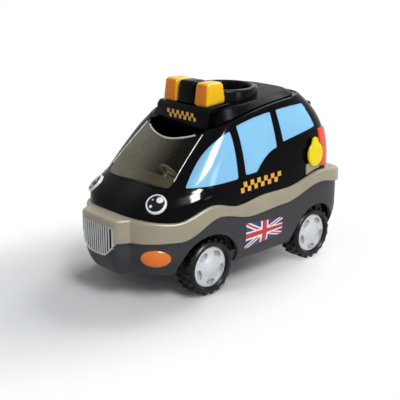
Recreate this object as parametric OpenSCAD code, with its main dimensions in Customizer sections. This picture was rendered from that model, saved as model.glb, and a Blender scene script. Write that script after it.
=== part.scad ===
// Chunky toy taxi with a friction drive, a turning fuel cap and a lift-up tailgate.
// Millimetres. +X is forward, +Y is the left side, +Z is up, the tyres stand on z = 0.

/* [Body] */
// Overall length over the belt trim
body_l = 164; // [156:1:172]
// Overall width over the belt trim
body_w = 92; // [90:1:98]
// Wall of the moulded shells
wall = 2.2; // [1.8:0.1:2.6]
// How far the belt trim stands out of the body
belt_proud = 1.6; // [1.2:0.1:2]
// Depth of the nose block in front of the wings
nose_depth = 7; // [5:0.5:8]
// Width of the nose block
nose_w = 37.6; // [35:0.2:40]
// Depth of the shelf that the belt leaves behind the tailgate
tail_step = 4; // [3:0.5:5]
// How far the hood bulges out between the belt and the windscreen
hood_proud = 3.4; // [2:0.1:4]

/* [Levels] */
// Bottom edge of the skirt
skirt_z = 15; // [13:0.5:17]
// How far the skirt tucks in at its bottom edge
skirt_tuck = 5; // [3:0.5:6]
// Lowest point of the belt's lower edge
belt_low_z = 34.2; // [33:0.2:36]
// Rise of the belt's lower edge to its highest point
belt_low_rise = 16.3; // [14:0.1:17]
// Lowest point of the belt's upper edge
belt_top_z = 46.4; // [45.4:0.2:48]
// Rise of the belt's upper edge to its highest point
belt_top_rise = 11.2; // [10:0.1:12]
// Height of the gutter above the windscreen
gutter_front_z = 89.5; // [88:0.5:91]
// Height of the gutter above the tailgate
gutter_rear_z = 102.6; // [102:0.1:104.5]
// Height of the raised roof panel at its front edge
roof_front_z = 100; // [99:0.2:101]
// Height of the raised roof panel at its rear edge
roof_rear_z = 105.8; // [105:0.2:107]

/* [Roof] */
// Distance of the figure hole behind the middle of the car
roof_back = 14; // [12:0.5:16]
// Reach of the gutter in front of the figure hole
gutter_front_l = 38.9; // [37:0.1:40]
// Reach of the gutter behind the figure hole
gutter_rear_l = 45; // [44:0.5:47]
// Width of the roof over the gutters
gutter_w = 67.2; // [65:0.2:69]
// Bore of the figure well
well_d = 34; // [32:0.5:35]
// Depth of the figure well
well_depth = 41; // [36:0.5:44]
// Top of the collar round the figure well
collar_z = 109; // [108.4:0.1:110]

/* [Windows] */
// Level of the lowest window sill
sill_z = 63.5; // [62:0.5:65]
// Level of the highest window edge
glass_top_z = 99; // [97:0.2:99.4]
// Thickness of the window panels and the windscreen
glass_t = 1.4; // [1.2:0.1:1.8]
// Depth of the window panels below the skin
glass_sink = 0.4; // [0.2:0.1:0.8]
// Width of the windscreen at its lower edge
screen_low_w = 56; // [53:0.5:58]
// Width of the windscreen at its upper edge
screen_top_w = 48.8; // [46:0.2:50]
// Level of the windscreen's lower edge
screen_low_z = 62.6; // [61:0.2:64]
// Depth of the half-round notch in the windscreen's upper edge
notch_depth = 12; // [10:0.5:13]
// Least width of the pillar between the windscreen and a front window
pillar_w = 3; // [2.5:0.1:3.5]

/* [Sign] */
// Distance of the sign's front face from the figure hole
sign_front_l = 33.1; // [32:0.1:34]
// Width of the sign box
sign_w = 44; // [42:0.5:46]
// Lower edge of the sign's front face
sign_low_z = 88.7; // [88:0.1:90]
// Height of the sign's front face
sign_h = 10.4; // [9:0.2:11]
// Thickness of the sign's deck above the roof panel
deck_t = 1.2; // [1:0.1:1.4]
// Length of a roof lamp along the car
lamp_l = 15.6; // [14:0.2:16]
// Width of a roof lamp
lamp_w = 12; // [11:0.2:12.6]
// Height of the roof lamps above the deck's front
lamp_h = 13.4; // [12:0.2:14]
// Width of the block between the roof lamps
bridge_w = 14.4; // [13:0.2:15]

/* [Wheels] */
// Radius of the wheels over the tread
wheel_r = 16.5; // [16:0.1:17]
// Width of the tyres
tyre_w = 14; // [13:0.5:14]
// Radius of the hubs
hub_r = 12; // [11:0.1:12.6]
// Distance over the outer faces of the wheels
wheel_span = 84; // [83:0.5:86]
// Distance of the front axle in front of the middle of the car
front_axle_l = 33.4; // [32:0.2:35]
// Distance of the rear axle behind the middle of the car
rear_axle_l = 52.8; // [52:0.2:54]
// Diameter of the axles
axle_d = 4; // [3:0.1:4.4]
// Room between the tread and the wheel arch
arch_gap = 3.3; // [2.5:0.1:4]

/* [Chassis] */
// Underside of the chassis plate
chassis_z = 20.6; // [20:0.1:22]
// Thickness of the chassis plate
chassis_t = 2.4; // [2:0.1:3]
// Underside of the cabin floor
floor_z = 41; // [40.4:0.1:41.6]
// Thickness of the cabin floor
floor_t = 2.4; // [2:0.1:2.6]
// Diameter of the base screws
screw_d = 3; // [2.5:0.1:3.5]

/* [Drive] */
// Gear module of the friction drive
gear_m = 0.7; // [0.66:0.01:0.74]
// Width of a gear
gear_w = 3; // [2.6:0.1:3.2]
// Diameter of the flywheel
flywheel_d = 17; // [15:0.5:17.4]
// Width of the flywheel
flywheel_w = 5; // [4:0.2:5.4]
// Diameter of the idler and flywheel shafts
shaft_d = 2.4; // [2:0.1:2.6]

/* [Fits] */
// Gap between fixed pieces
piece_gap = 0.2; // [0.1:0.05:0.3]
// Gap between a moving piece and a fixed one
move_gap = 0.5; // [0.4:0.1:0.7]
// Radial clearance of a shaft in its bearing
bearing_gap = 0.05; // [0.03:0.01:0.08]

/* [Hidden] */
$fn = 48;
// How far a cut runs past the solid it cuts
overrun = 1;
// Colours of the mouldings
black = "#101113";
beige = "#a39c88";
charcoal = "#3a3a3e";
amber = "#fdc418";
orange = "#f07a20";
sky = "#93d0f2";
silver = "#c9ccd0";
steel = "#9aa0a6";

// Plan of the body: superellipses seen from above, joined by a nose block in front
front_n = 2.9;
rear_n = 8;
tail_n = 4.6;
nose_n = 7;
blend_n = 60;
gutter_n = 4.5;
gutter_tail_n = 3.7;
nose_l = body_l / 2 - belt_proud;
front_l = nose_l - nose_depth;
rear_l = body_l / 2 - belt_proud;
tail_l = rear_l - tail_step;
half_w = body_w / 2 - belt_proud;
roof_x = -roof_back;
// Rate at which the walls lean in, at the front, the sides and the rear, and what the corners add
front_lean = 0.98;
side_lean = 1.87;
rear_lean = 3.3;
front_corner_lean = 0.4;
rear_corner_lean = 0.6;
gutter_lean = 2.4;
roof_lean = 1.5;
// Small steps that measure the direction of a surface
turn_step = 0.5;
rise_step = 0.01;
// Directions of the sections, closer together at the nose and the rear corners
half_turns = concat([for (i = [0:9]) i * 1.7], [for (a = [18:6:90]) a], [for (a = [98:8:130]) a],
                    [for (a = [134:4:178]) a]);
turns = concat(half_turns, [180], [for (i = [len(half_turns) - 1:-1:1]) -half_turns[i]]);
// The same directions in rising order, from behind the right side round to the rear
long_turns = concat([for (i = [len(half_turns) - 1:-1:1]) -half_turns[i]], half_turns, [180],
                    [for (i = [len(half_turns) - 1:-1:1]) 360 - half_turns[i]]);
// Rows of points up the upper shell, those of them up to the top of the hood, and rows up the skirt
shell_rows = 13;
hood_rows = 5;
skirt_rows = 6;
// Fading of the hood's bulge towards the sides
hood_fade = 1.2;

// Waves of the belt's edges: share of half the length, share of the rise
belt_top_shares = [[1, 0.2], [0.68, 0], [0.405, 0.62], [0.19, 0.31], [-0.09, 0.54], [-0.28, 0.54],
                   [-0.68, 1], [-1, 0.72]];
belt_low_shares = [[1, 0], [0.65, 0.07], [0.35, 0.72], [0.07, 0.46], [-0.27, 0.56], [-0.66, 1], [-1, 0.72]];
// Depth of the upper shell's edge behind the belt, and of the belt's rounded edges
belt_cover = 2;
belt_bead = 0.9;
// Share of the skirt's height that tucks in
tuck_share = 0.5;

function lerp(p, q, t) = p + (q - p) * t;
function smooth(t) = t * t * (3 - 2 * t);
function polar(r, a) = [r * cos(a), r * sin(a)];
function reversed(list) = [for (i = [len(list) - 1:-1:0]) list[i]];
function lifted(p, z) = [p[0], p[1], z];
function curve(p, q, r, steps) =
  [for (i = [0:steps]) let (t = i / steps) lerp(lerp(p, q, t), lerp(q, r, t), t)];
function oval_r(a, lx, ly, n) = pow(pow(abs(cos(a)) / lx, n) + pow(abs(sin(a)) / ly, n), -1 / n);

// Height of a belt edge at a distance along the car
function wave(x, level, rise, shares) =
  let (s = max(-1, min(1, x / (body_l / 2))))
  let (i = [for (k = [0:len(shares) - 2]) if (s <= shares[k][0] && s >= shares[k + 1][0]) k][0])
  let (t = (shares[i][0] - s) / (shares[i][0] - shares[i + 1][0]))
  level + rise * lerp(shares[i][1], shares[i + 1][1], smooth(t));

// Outline of the body in one direction: without the nose, with it, and above the belt
function body_r(a) = cos(a) >= 0 ? oval_r(a, front_l, half_w, front_n) : oval_r(a, rear_l, half_w, rear_n);
function nose_r(a) = cos(a) > 0 ? oval_r(a, nose_l, nose_w / 2, nose_n) : 0;
function skirt_r(a) = pow(pow(body_r(a), blend_n) + pow(nose_r(a), blend_n), 1 / blend_n);
function cabin_r(a) = cos(a) >= 0 ? body_r(a) : oval_r(a, tail_l, half_w, tail_n);
function gutter_r(a) = cos(a) >= 0 ? oval_r(a, gutter_front_l, gutter_w / 2, gutter_n)
                                   : oval_r(a, gutter_rear_l, gutter_w / 2, gutter_tail_n);

// Point of an outline, moved out along its normal, and the two outlines that use it
function outline_p(radius, a, out) =
  let (ahead = polar(radius(a + turn_step), a + turn_step))
  let (behind = polar(radius(a - turn_step), a - turn_step))
  let (q = ahead - behind)
  polar(radius(a), a) + out * [q[1], -q[0]] / norm(q);
function skirt_p(a, out) = outline_p(function (b) skirt_r(b), a, out);
function cabin_p(a, out) = outline_p(function (b) cabin_r(b), a, out);

// Belt edges and the seam behind the belt in one direction
function body_x(a) = body_r(a) * cos(a);
function belt_top(a) = wave(body_x(a), belt_top_z, belt_top_rise, belt_top_shares);
function belt_low(a) = wave(body_x(a), belt_low_z, belt_low_rise, belt_low_shares);
function seam_z(a) = (belt_top(a) + belt_low(a)) / 2;

// Gutter line round the roof
function gutter_p(a) = [roof_x, 0] + polar(gutter_r(a), a);
function gutter_z(x) =
  let (t = max(0, min(1, (roof_x + gutter_front_l - x) / (gutter_front_l + gutter_rear_l))))
  lerp(gutter_front_z, gutter_rear_z, 1 - pow(1 - t, gutter_lean));

// Skin of the upper body: t runs from the belt, 0, to the gutter, 1
function lean(a) = lerp(side_lean, cos(a) >= 0 ? front_lean : rear_lean, pow(cos(a), 2))
                   + (cos(a) >= 0 ? front_corner_lean : rear_corner_lean) * pow(sin(2 * a), 2);
function hood_out(a, z) =
  let (low = belt_top(a))
  let (t = max(0, min(1, (z - low) / (screen_low_z - low))))
  cos(a) > 0 ? hood_proud * sin(180 * t) * pow(cos(a), hood_fade) : 0;
function skin_z(a, t) = lerp(belt_top(a) - belt_cover, gutter_z(gutter_p(a)[0]), t);
function skin_p(a, t) =
  let (z = skin_z(a, t))
  lifted(lerp(polar(cabin_r(a), a), gutter_p(a), pow(t, lean(a))) + polar(hood_out(a, z), a), z);
// Height share of a row: the belt's inner edge, its top, up the hood, and on to the gutter
function row_t(a, j) =
  let (low = belt_top(a) - belt_cover, high = gutter_z(gutter_p(a)[0]))
  let (hood_z = lerp(belt_top(a), screen_low_z, (j - 1) / (hood_rows - 1)))
  let (wall_z = lerp(screen_low_z, high, (j - hood_rows) / (shell_rows - hood_rows)))
  ((j < 1 ? low : j <= hood_rows ? hood_z : wall_z) - low) / (high - low);
function skin_n(a, t) =
  let (round = skin_p(a + turn_step, t) - skin_p(a - turn_step, t))
  let (up = skin_p(a, t + rise_step) - skin_p(a, max(0, t - rise_step)))
  let (n = cross(round, up))
  n / norm(n);
function skin_at(a, t, out) = skin_p(a, t) + out * skin_n(a, t);

// Solid between sections that follow one another, closed into a ring or capped at its ends
module sweep(sections, ring) {
  n = len(sections);
  m = len(sections[0]);
  last = ring ? n - 1 : n - 2;
  sides = [for (i = [0:last]) for (j = [0:m - 1])
           let (a = i * m + j, b = (i + 1) % n * m + j)
           let (c = (i + 1) % n * m + (j + 1) % m, d = i * m + (j + 1) % m)
           each [[a, c, b], [a, d, c]]];
  caps = ring ? [] : [for (j = [0:m / 2 - 2])
           let (e = (n - 1) * m, k = m - 1 - j)
           each [[j, k, j + 1], [j + 1, k, k - 1],
                 [e + j, e + j + 1, e + k], [e + j + 1, e + k - 1, e + k]]];
  polyhedron(points = [for (s = sections) each s], faces = concat(sides, caps), convexity = 8);
}

// Part of the upper skin between two directions, from one depth to another, with the shell's own facets
module skin_layer(a_from, a_to, out, in) {
  columns = [for (a = long_turns) if (a >= a_from && a <= a_to) a];
  sweep([for (a = columns)
    concat([for (j = [0:shell_rows]) skin_at(a, row_t(a, j), out)],
           [for (j = [shell_rows:-1:0]) skin_at(a, row_t(a, j), in)])], false);
}

// Raised patch on the upper skin between two directions and two heights
module skin_patch(a_from, a_to, t_from, t_to, out, in, columns, rows) {
  sweep([for (i = [0:columns])
    let (a = lerp(a_from, a_to, i / columns))
    concat([for (j = [0:rows]) skin_at(a, lerp(t_from, t_to, j / rows), out)],
           [for (j = [rows:-1:0]) skin_at(a, lerp(t_from, t_to, j / rows), in)])], false);
}

// Prisms along the car's side and along its length
module side_prism(side) {
  mirror([0, side < 0 ? 1 : 0, 0])
    translate([0, body_w / 2 + overrun, 0])
      rotate([90, 0, 0])
        linear_extrude(body_w / 2)
          children();
}
module long_prism(x_from, x_to) {
  translate([x_from, 0, 0])
    rotate([90, 0, 90])
      linear_extrude(x_to - x_from)
        children();
}
module rounded(r) {
  offset(r = r, $fn = 24)
    offset(delta = -r)
      children();
}

// Places a child on the upper skin, with +Z out of the skin
module on_skin(a, t) {
  n = skin_n(a, t);
  translate(skin_p(a, t))
    rotate([0, acos(n[2]), atan2(n[1], n[0])])
      children();
}

// Window outlines, in shares of half the length and of the glass height
window_r = 1.5;
front_window_shares = [[0.566, 0], [0.376, 0.6], [0.163, 0.762], [0.172, 0.03]];
middle_window_shares = [[0.107, 0.82], [0.104, 0.06], [-0.006, 0.07], [-0.11, 0.34], [-0.219, 0.39],
                        [-0.224, 0.95], [-0.058, 0.92]];
rear_window_shares = [[-0.276, 0.962], [-0.281, 0.455], [-0.475, 0.54], [-0.652, 0.59], [-0.585, 0.985],
                      [-0.43, 1]];
curve_steps = 8;
function window_p(s) = [s[0] * body_l / 2, lerp(sill_z, glass_top_z, s[1])];
function front_window(s) = concat(curve(window_p(s[0]), window_p(s[1]), window_p(s[2]), curve_steps),
                                  [window_p(s[3])]);
function middle_window(s) = concat([window_p(s[0]), window_p(s[1])],
                                   curve(window_p(s[2]), window_p(s[3]), window_p(s[4]), curve_steps),
                                   curve(window_p(s[5]), window_p(s[6]), window_p(s[0]), curve_steps));
function rear_window(s) = concat([window_p(s[0]), window_p(s[1])],
                                 curve(window_p(s[1]), window_p(s[2]), window_p(s[3]), curve_steps),
                                 curve(window_p(s[4]), window_p(s[5]), window_p(s[0]), curve_steps));
module front_window_2d() { rounded(window_r) polygon(front_window(front_window_shares)); }
module middle_window_2d() { rounded(window_r) polygon(middle_window(middle_window_shares)); }
module rear_window_2d() { rounded(window_r) polygon(rear_window(rear_window_shares)); }

// Windscreen outline seen from the front, open at the top for the notch
screen_r = 4;
notch_w = screen_top_w;
screen_top_z = gutter_front_z;
module screen_2d() {
  rounded(screen_r)
    polygon([[-screen_low_w / 2, screen_low_z], [screen_low_w / 2, screen_low_z],
             [screen_top_w / 2, screen_top_z], [screen_top_w / 2, collar_z + screen_r],
             [-screen_top_w / 2, collar_z + screen_r], [-screen_top_w / 2, screen_top_z]]);
}
sign_x = roof_x + sign_front_l;

// Prism of a front window, cut back where it would take the pillar beside the windscreen
module front_window_prism(side, room) {
  difference() {
    side_prism(side) offset(delta = -room) front_window_2d();
    long_prism(0, body_l / 2) offset(delta = pillar_w + room) screen_2d();
  }
}

// Headlamps: direction and height share on the skin, size
headlamp_a = 23.5;
headlamp_t_share = 0.258;
headlamp_d = 11.8;
headlamp_sink = 1;
headlamp_proud = 0.8;
headlamp_rim = 1.3;

// Tailgate, seen from behind, and its hinge at the upper edge
gate_low_z = 63;
gate_low_w = 54;
gate_top_w = 40;
gate_r = 4;
gate_hinge_share = 0.86;
barrel_r = 2.4;
gate_pin_r = 1.2;
knuckle_w = 4;
hinge_p = skin_at(180, gate_hinge_share, -barrel_r);
function gate_w(z) = lerp(gate_low_w, gate_top_w, (z - gate_low_z) / (hinge_p[2] - gate_low_z));
module gate_2d() {
  high = hinge_p[2] + 2 * gate_r;
  intersection() {
    rounded(gate_r)
      polygon([[-gate_low_w / 2, gate_low_z], [gate_low_w / 2, gate_low_z],
               [gate_w(high) / 2, high], [-gate_w(high) / 2, high]]);
    translate([-body_w / 2, 0])
      square([body_w, hinge_p[2]]);
  }
}
module across(width, r) {
  rotate([90, 0, 0])
    cylinder(h = width, r = r, center = true);
}

// Fuel cap: direction and height share of its axis on the skin
cap_a = 138;
cap_t_share = 0.29;
cap_r = 7.2;
cap_head_r = 2.6;
cap_head_l = 7.8;
cap_neck_r = 3.4;
cap_t = 2;
cap_lift = 1;
cap_pin_r = 2;
cap_skin = 0.7;

// Shelf inside the gutter that carries the roof panel
ledge_w = 9;
shell_top_share = 0.965;

module upper_shell() {
  start = [for (a = turns) lifted(cabin_p(a, 0), seam_z(a) + piece_gap)];
  sections = [for (i = [0:len(turns) - 1])
    let (a = turns[i], g = gutter_p(a), gz = gutter_z(g[0]))
    let (ledge = [roof_x, 0] + polar(gutter_r(a) - ledge_w, a))
    let (inner = skin_at(a, 0, -wall))
    concat([start[i]],
           [for (j = [0:shell_rows]) skin_p(a, row_t(a, j))],
           [lifted(ledge, gz), lifted(ledge, gz - wall)],
           [for (j = [shell_rows:-1:0]) skin_at(a, shell_top_share * row_t(a, j), -wall)],
           [lifted([inner[0], inner[1]], start[i][2])])];
  color(black)
    difference() {
      sweep(sections, true);
      for (side = [-1, 1]) {
        front_window_prism(side, 0);
        side_prism(side) middle_window_2d();
        side_prism(side) rear_window_2d();
        on_skin(side * headlamp_a, headlamp_t_share)
          translate([0, 0, -headlamp_sink])
            cylinder(h = headlamp_sink + wall, d = headlamp_d + 2 * piece_gap);
      }
      long_prism(0, body_l / 2) screen_2d();
      long_prism(-body_l, roof_x) offset(delta = move_gap) gate_2d();
      translate(hinge_p)
        across(gate_top_w + 2 * knuckle_w + 4 * move_gap, barrel_r + move_gap);
      on_skin(cap_a, cap_t_share)
        cylinder(h = 4 * wall, r = cap_pin_r + bearing_gap, center = true);
    }
}

module belt_trim() {
  sections = [for (a = turns)
    let (top = belt_top(a), low = belt_low(a), seam = seam_z(a))
    let (edge = cabin_p(a, piece_gap))
    let (shelf = belt_cover / (gutter_z(gutter_p(a)[0]) - top + belt_cover))
    let (rim = skin_at(a, shelf, piece_gap))
    [lifted(skirt_p(a, piece_gap), low),
     lifted(skirt_p(a, piece_gap), seam + piece_gap),
     lifted(edge, seam + 2 * piece_gap),
     lifted(edge, top - belt_cover),
     lifted([rim[0], rim[1]], top),
     lifted(skirt_p(a, belt_proud - belt_bead), top),
     lifted(skirt_p(a, belt_proud), top - belt_bead),
     lifted(skirt_p(a, belt_proud), low + belt_bead),
     lifted(skirt_p(a, belt_proud - belt_bead), low)]];
  color(beige)
    difference() {
      sweep([for (s = sections) reversed(s)], true);
      grille_pocket();
    }
}

// Wheel arches cut through the skirt
arch_r = wheel_r + arch_gap;
module wheel_arches() {
  for (x = [front_axle_l, -rear_axle_l])
    translate([x, 0, wheel_r])
      across(body_w + 2 * overrun, arch_r);
}

module lower_skirt() {
  sections = [for (a = turns)
    let (top = seam_z(a) - piece_gap)
    let (rows = [for (j = [0:skirt_rows]) j / skirt_rows])
    let (tucks = [for (t = rows) skirt_tuck * pow(max(0, 1 - t / tuck_share), 2)])
    concat([for (j = [0:skirt_rows]) lifted(skirt_p(a, -tucks[j]), lerp(skirt_z, top, rows[j]))],
           [for (j = [skirt_rows:-1:0]) lifted(skirt_p(a, -tucks[j] - wall), lerp(skirt_z, top, rows[j]))])];
  color(charcoal)
    difference() {
      sweep(sections, true);
      wheel_arches();
      grille_pocket();
    }
}

// Grille: a shield outline seen from the front, with upright bars
grille_w = 28;
grille_top_z = 44;
grille_low_z = 26.6;
grille_corner_r = 2.5;
grille_depth = 5;
grille_bars = 13;
grille_bar_share = 0.55;
grille_groove = 1.2;
grille_shield_share = 0.55;
grille_side_share = 0.33;
module grille_2d() {
  half = grille_w / 2;
  foot = half * grille_shield_share;
  side_z = lerp(grille_low_z, grille_top_z, grille_side_share);
  rounded(grille_corner_r)
    polygon(concat([[-half, grille_top_z], [-half, side_z]],
                   curve([-foot, grille_low_z], [0, grille_low_z - belt_proud / 2], [foot, grille_low_z],
                         curve_steps),
                   [[half, side_z], [half, grille_top_z]]));
}
module grille_pocket() {
  long_prism(nose_l - grille_depth, body_l / 2 + overrun)
    offset(delta = piece_gap)
      grille_2d();
}
module grille() {
  pitch = grille_w / grille_bars;
  half_bar = pitch * grille_bar_share / 2;
  back_x = nose_l - grille_depth + piece_gap;
  ys = [for (i = [0:grille_bars - 1]) (i - (grille_bars - 1) / 2) * pitch];
  fronts = [for (y = ys) skirt_p(asin(y / nose_l), belt_proud)[0]];
  comb = concat([[back_x, -grille_w / 2 - overrun]],
                [for (i = [0:grille_bars - 1])
                 let (f = fronts[i], low = f - grille_groove)
                 each [[low, ys[i] - pitch / 2], [low, ys[i] - half_bar], [f, ys[i] - half_bar],
                       [f, ys[i] + half_bar], [low, ys[i] + half_bar], [low, ys[i] + pitch / 2]]],
                [[back_x, grille_w / 2 + overrun]]);
  color(silver)
    intersection() {
      translate([0, 0, grille_low_z - overrun])
        linear_extrude(grille_top_z - grille_low_z + 2 * overrun)
          polygon(comb);
      long_prism(nose_l - grille_depth, body_l / 2 + overrun) grille_2d();
    }
}

// Chassis plate inside the skirt, with wells over the wheels and a window for the gearbox
inner_wheel_y = wheel_span / 2 - tyre_w;
plate_inset = skirt_tuck + wall + piece_gap;
well_inner_y = inner_wheel_y - arch_gap;
well_t = 1.6;
screw_x_shares = [0.66, -0.87];
screw_y = 16;
screw_places = [for (s = screw_x_shares) for (side = [-1, 1]) [s * body_l / 2, side * screw_y]];
module wheel_wells(grow) {
  for (x = [front_axle_l, -rear_axle_l])
    for (side = [-1, 1])
      translate([x, side * (well_inner_y - grow + body_w / 2), wheel_r])
        across(body_w, arch_r + grow);
}
module chassis_plate() {
  color(charcoal)
    difference() {
      intersection() {
        union() {
          translate([0, 0, chassis_z])
            linear_extrude(chassis_t)
              polygon([for (a = turns) skirt_p(a, -plate_inset)]);
          wheel_wells(well_t);
        }
        translate([0, 0, chassis_z])
          linear_extrude(body_w)
            polygon([for (a = turns) skirt_p(a, -plate_inset)]);
      }
      wheel_wells(0);
      translate([0, 0, chassis_z - overrun])
        linear_extrude(chassis_t + 2 * overrun)
          gearbox_window();
      for (p = screw_places)
        translate(lifted(p, chassis_z - overrun))
          cylinder(h = chassis_t + 2 * overrun, d = screw_d + 2 * piece_gap);
    }
}

// Cabin floor on four screw posts
post_r = 3.6;
module cabin_floor() {
  color(charcoal)
    difference() {
      union() {
        translate([0, 0, floor_z])
          linear_extrude(floor_t)
            polygon([for (a = turns) cabin_p(a, -wall - 2 * piece_gap)]);
        for (p = screw_places)
          translate(lifted(p, chassis_z + chassis_t))
            cylinder(h = floor_z - chassis_z - chassis_t + floor_t / 2, r = post_r);
      }
      for (p = screw_places)
        translate(lifted(p, chassis_z))
          cylinder(h = screw_l + overrun, d = screw_d + 2 * bearing_gap);
    }
}
screw_l = 12;
screw_head_h = 1.6;
module base_screws() {
  color(steel)
    for (p = screw_places)
      translate(lifted(p, chassis_z)) {
        cylinder(h = screw_l, d = screw_d);
        translate([0, 0, -screw_head_h])
          cylinder(h = screw_head_h, d = 2 * screw_d);
      }
}

module windscreen() {
  color("#55565a", 0.6)
    difference() {
      intersection() {
        skin_layer(-90, 90, -glass_sink, -glass_sink - glass_t);
        long_prism(0, body_l / 2) offset(delta = -piece_gap) screen_2d();
      }
      translate([sign_x, 0, 0])
        linear_extrude(collar_z + overrun)
          polygon([for (i = [0:$fn - 1])
                   let (a = i * 360 / $fn) [notch_depth * cos(a), (notch_w / 2 + overrun) * sin(a)]]);
    }
}

// Dashboard, steering wheel and driver's seat on the cabin floor
floor_top = floor_z + floor_t;
dash_l = 16;
dash_room = 23.4;
dash_x = front_l - dash_room - dash_l;
dash_w = 44;
dash_z = 61.5;
dash_lip = 5;
steer_r = 6;
steer_tube_r = 0.9;
steer_column_r = 1.6;
steer_spoke_r = 0.6;
steer_reach = 6;
steer_root = 4;
steer_tilt = -52;
steer_spokes = 3;
module at_column() {
  translate([dash_x, 0, dash_z - dash_lip / 2])
    rotate([0, steer_tilt, 0])
      children();
}
module dashboard() {
  color(beige)
    difference() {
      translate([0, dash_w / 2, 0])
        rotate([90, 0, 0])
          linear_extrude(dash_w)
            polygon([[dash_x + dash_lip, floor_top], [dash_x + dash_lip, dash_z - 2 * dash_lip],
                     [dash_x, dash_z - dash_lip], [dash_x, dash_z], [dash_x + dash_l - dash_lip, dash_z],
                     [dash_x + dash_l, dash_z - dash_lip], [dash_x + dash_l, floor_top]]);
      at_column()
        translate([0, 0, -steer_root])
          cylinder(h = 2 * steer_root, r = steer_column_r + bearing_gap);
    }
}
module steering_wheel() {
  color(black)
    at_column() {
      translate([0, 0, piece_gap - steer_root])
        cylinder(h = steer_root + steer_reach, r = steer_column_r);
      translate([0, 0, steer_reach]) {
        rotate_extrude()
          translate([steer_r, 0])
            circle(r = steer_tube_r, $fn = 24);
        for (i = [0:steer_spokes - 1])
          rotate([0, 90, i * 360 / steer_spokes])
            cylinder(h = steer_r, r = steer_spoke_r, $fn = 24);
      }
    }
}
seat_l = 18;
seat_w = 28;
seat_h = 8;
seat_back_t = 4;
seat_back_h = 28;
well_wall = 2;
module driver_seat() {
  color(charcoal)
    translate([roof_x + well_d / 2 + well_wall + 2 * move_gap, -seat_w / 2, floor_top]) {
      cube([seat_l, seat_w, seat_h]);
      cube([seat_back_t, seat_w, seat_back_h]);
    }
}

// Figure well: a cup on a hollow pedestal, with a collar above the roof
collar_wall = 3.6;
collar_h = 8.5;
collar_round = 1.2;
module passenger_well() {
  bore = well_d / 2;
  low = collar_z - well_depth;
  color(black)
    translate([roof_x, 0, 0])
      rotate_extrude($fn = 96)
        polygon([[bore - well_wall, floor_top], [bore + well_wall, floor_top],
                 [bore + well_wall, collar_z - collar_h], [bore + collar_wall, collar_z - collar_h],
                 [bore + collar_wall, collar_z - collar_round],
                 [bore + collar_wall - collar_round, collar_z],
                 [bore, collar_z], [bore, low], [0, low], [0, low - well_wall],
                 [bore - well_wall, low - well_wall]]);
}

// Raised roof panel: a chamfered cover inside the gutter with a round hole for the well
panel_inset = 3.6;
panel_front_cut = 9.9;
panel_chamfer = 4;
panel_t = 2;
function roof_z(x) =
  let (t = max(0, min(1, (sign_x - panel_chamfer - x) / (sign_front_l + gutter_rear_l - panel_chamfer))))
  lerp(roof_front_z, roof_rear_z, 1 - pow(1 - t, roof_lean));
function panel_r(a, inset) =
  oval_r(a, cos(a) >= 0 ? gutter_front_l - panel_front_cut - inset : gutter_rear_l - panel_inset - inset,
         gutter_w / 2 - panel_inset - inset, cos(a) >= 0 ? gutter_n : gutter_tail_n);
module roof_panel() {
  hole_r = well_d / 2 + collar_wall + piece_gap;
  sections = [for (a = turns)
    let (foot = [roof_x, 0] + polar(panel_r(a, 0), a))
    let (edge = [roof_x, 0] + polar(panel_r(a, panel_chamfer), a))
    let (inner = [roof_x, 0] + polar(panel_r(a, panel_t), a), hole = [roof_x, 0] + polar(hole_r, a))
    let (under = [roof_x, 0] + polar(panel_r(a, panel_chamfer + panel_t), a))
    let (foot_z = gutter_z(gutter_p(a)[0]) + piece_gap)
    [lifted(inner, foot_z), lifted(foot, foot_z),
     lifted(edge, roof_z(edge[0])), lifted(hole, roof_z(hole[0])),
     lifted(hole, roof_z(hole[0]) - panel_t), lifted(under, roof_z(under[0]) - panel_t)]];
  color(black)
    sweep(sections, true);
}

// Sign box on the front of the roof panel
sign_plate_t = 2.4;
sign_chamfer = 2;
sign_rear_x = sign_x - lamp_l - sign_chamfer;
function deck_z(x) = roof_z(sign_rear_x) + piece_gap / 2 + deck_t + (roof_front_z - roof_z(sign_rear_x))
                     * (x - sign_rear_x) / (sign_x - sign_rear_x);
module collar_cut() {
  translate([roof_x, 0, 0])
    cylinder(h = body_l, r = well_d / 2 + collar_wall + piece_gap, $fn = 96);
}
module sign_box() {
  top = sign_low_z + sign_h;
  steps = 6;
  under = [for (i = [0:steps])
           let (x = lerp(sign_rear_x, sign_x - panel_chamfer, i / steps)) [x, roof_z(x) + piece_gap / 2]];
  color(black)
    difference() {
      translate([0, sign_w / 2, 0])
        rotate([90, 0, 0])
          linear_extrude(sign_w)
            polygon(concat([[sign_x, sign_low_z], [sign_x, top],
                            [sign_x - sign_chamfer, deck_z(sign_x - sign_chamfer)],
                            [sign_rear_x, deck_z(sign_rear_x)]],
                           under,
                           [[sign_x - sign_plate_t, top - sign_chamfer],
                            [sign_x - sign_plate_t, sign_low_z]]));
      collar_cut();
    }
}

// Tapered block with rounded upper edges on the sign's deck
lamp_taper = 1.5;
lamp_round = 2.4;
lamp_foot_r = 1.2;
module deck_block(y, width, length, height) {
  x_rear = sign_x - sign_chamfer - length;
  x_front = sign_x - sign_chamfer;
  top_z = deck_z(x_front) + height - lamp_round;
  difference() {
    hull()
      for (side = [-1, 1]) {
        for (x = [x_rear + lamp_foot_r, x_front - lamp_foot_r])
          translate([x, y + side * (width / 2 - lamp_foot_r), deck_z(x - lamp_foot_r) + piece_gap / 2])
            cylinder(h = lamp_foot_r, r = lamp_foot_r, $fn = 24);
        for (x = [x_rear + lamp_taper + lamp_round, x_front - lamp_taper - lamp_round])
          translate([x, y + side * (width / 2 - lamp_taper / 2 - lamp_round), top_z])
            sphere(r = lamp_round, $fn = 24);
      }
    collar_cut();
  }
}
lamp_y = bridge_w / 2 + piece_gap + lamp_w / 2;
module roof_lamp_left() { color(amber) deck_block(lamp_y, lamp_w, lamp_l, lamp_h); }
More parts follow.
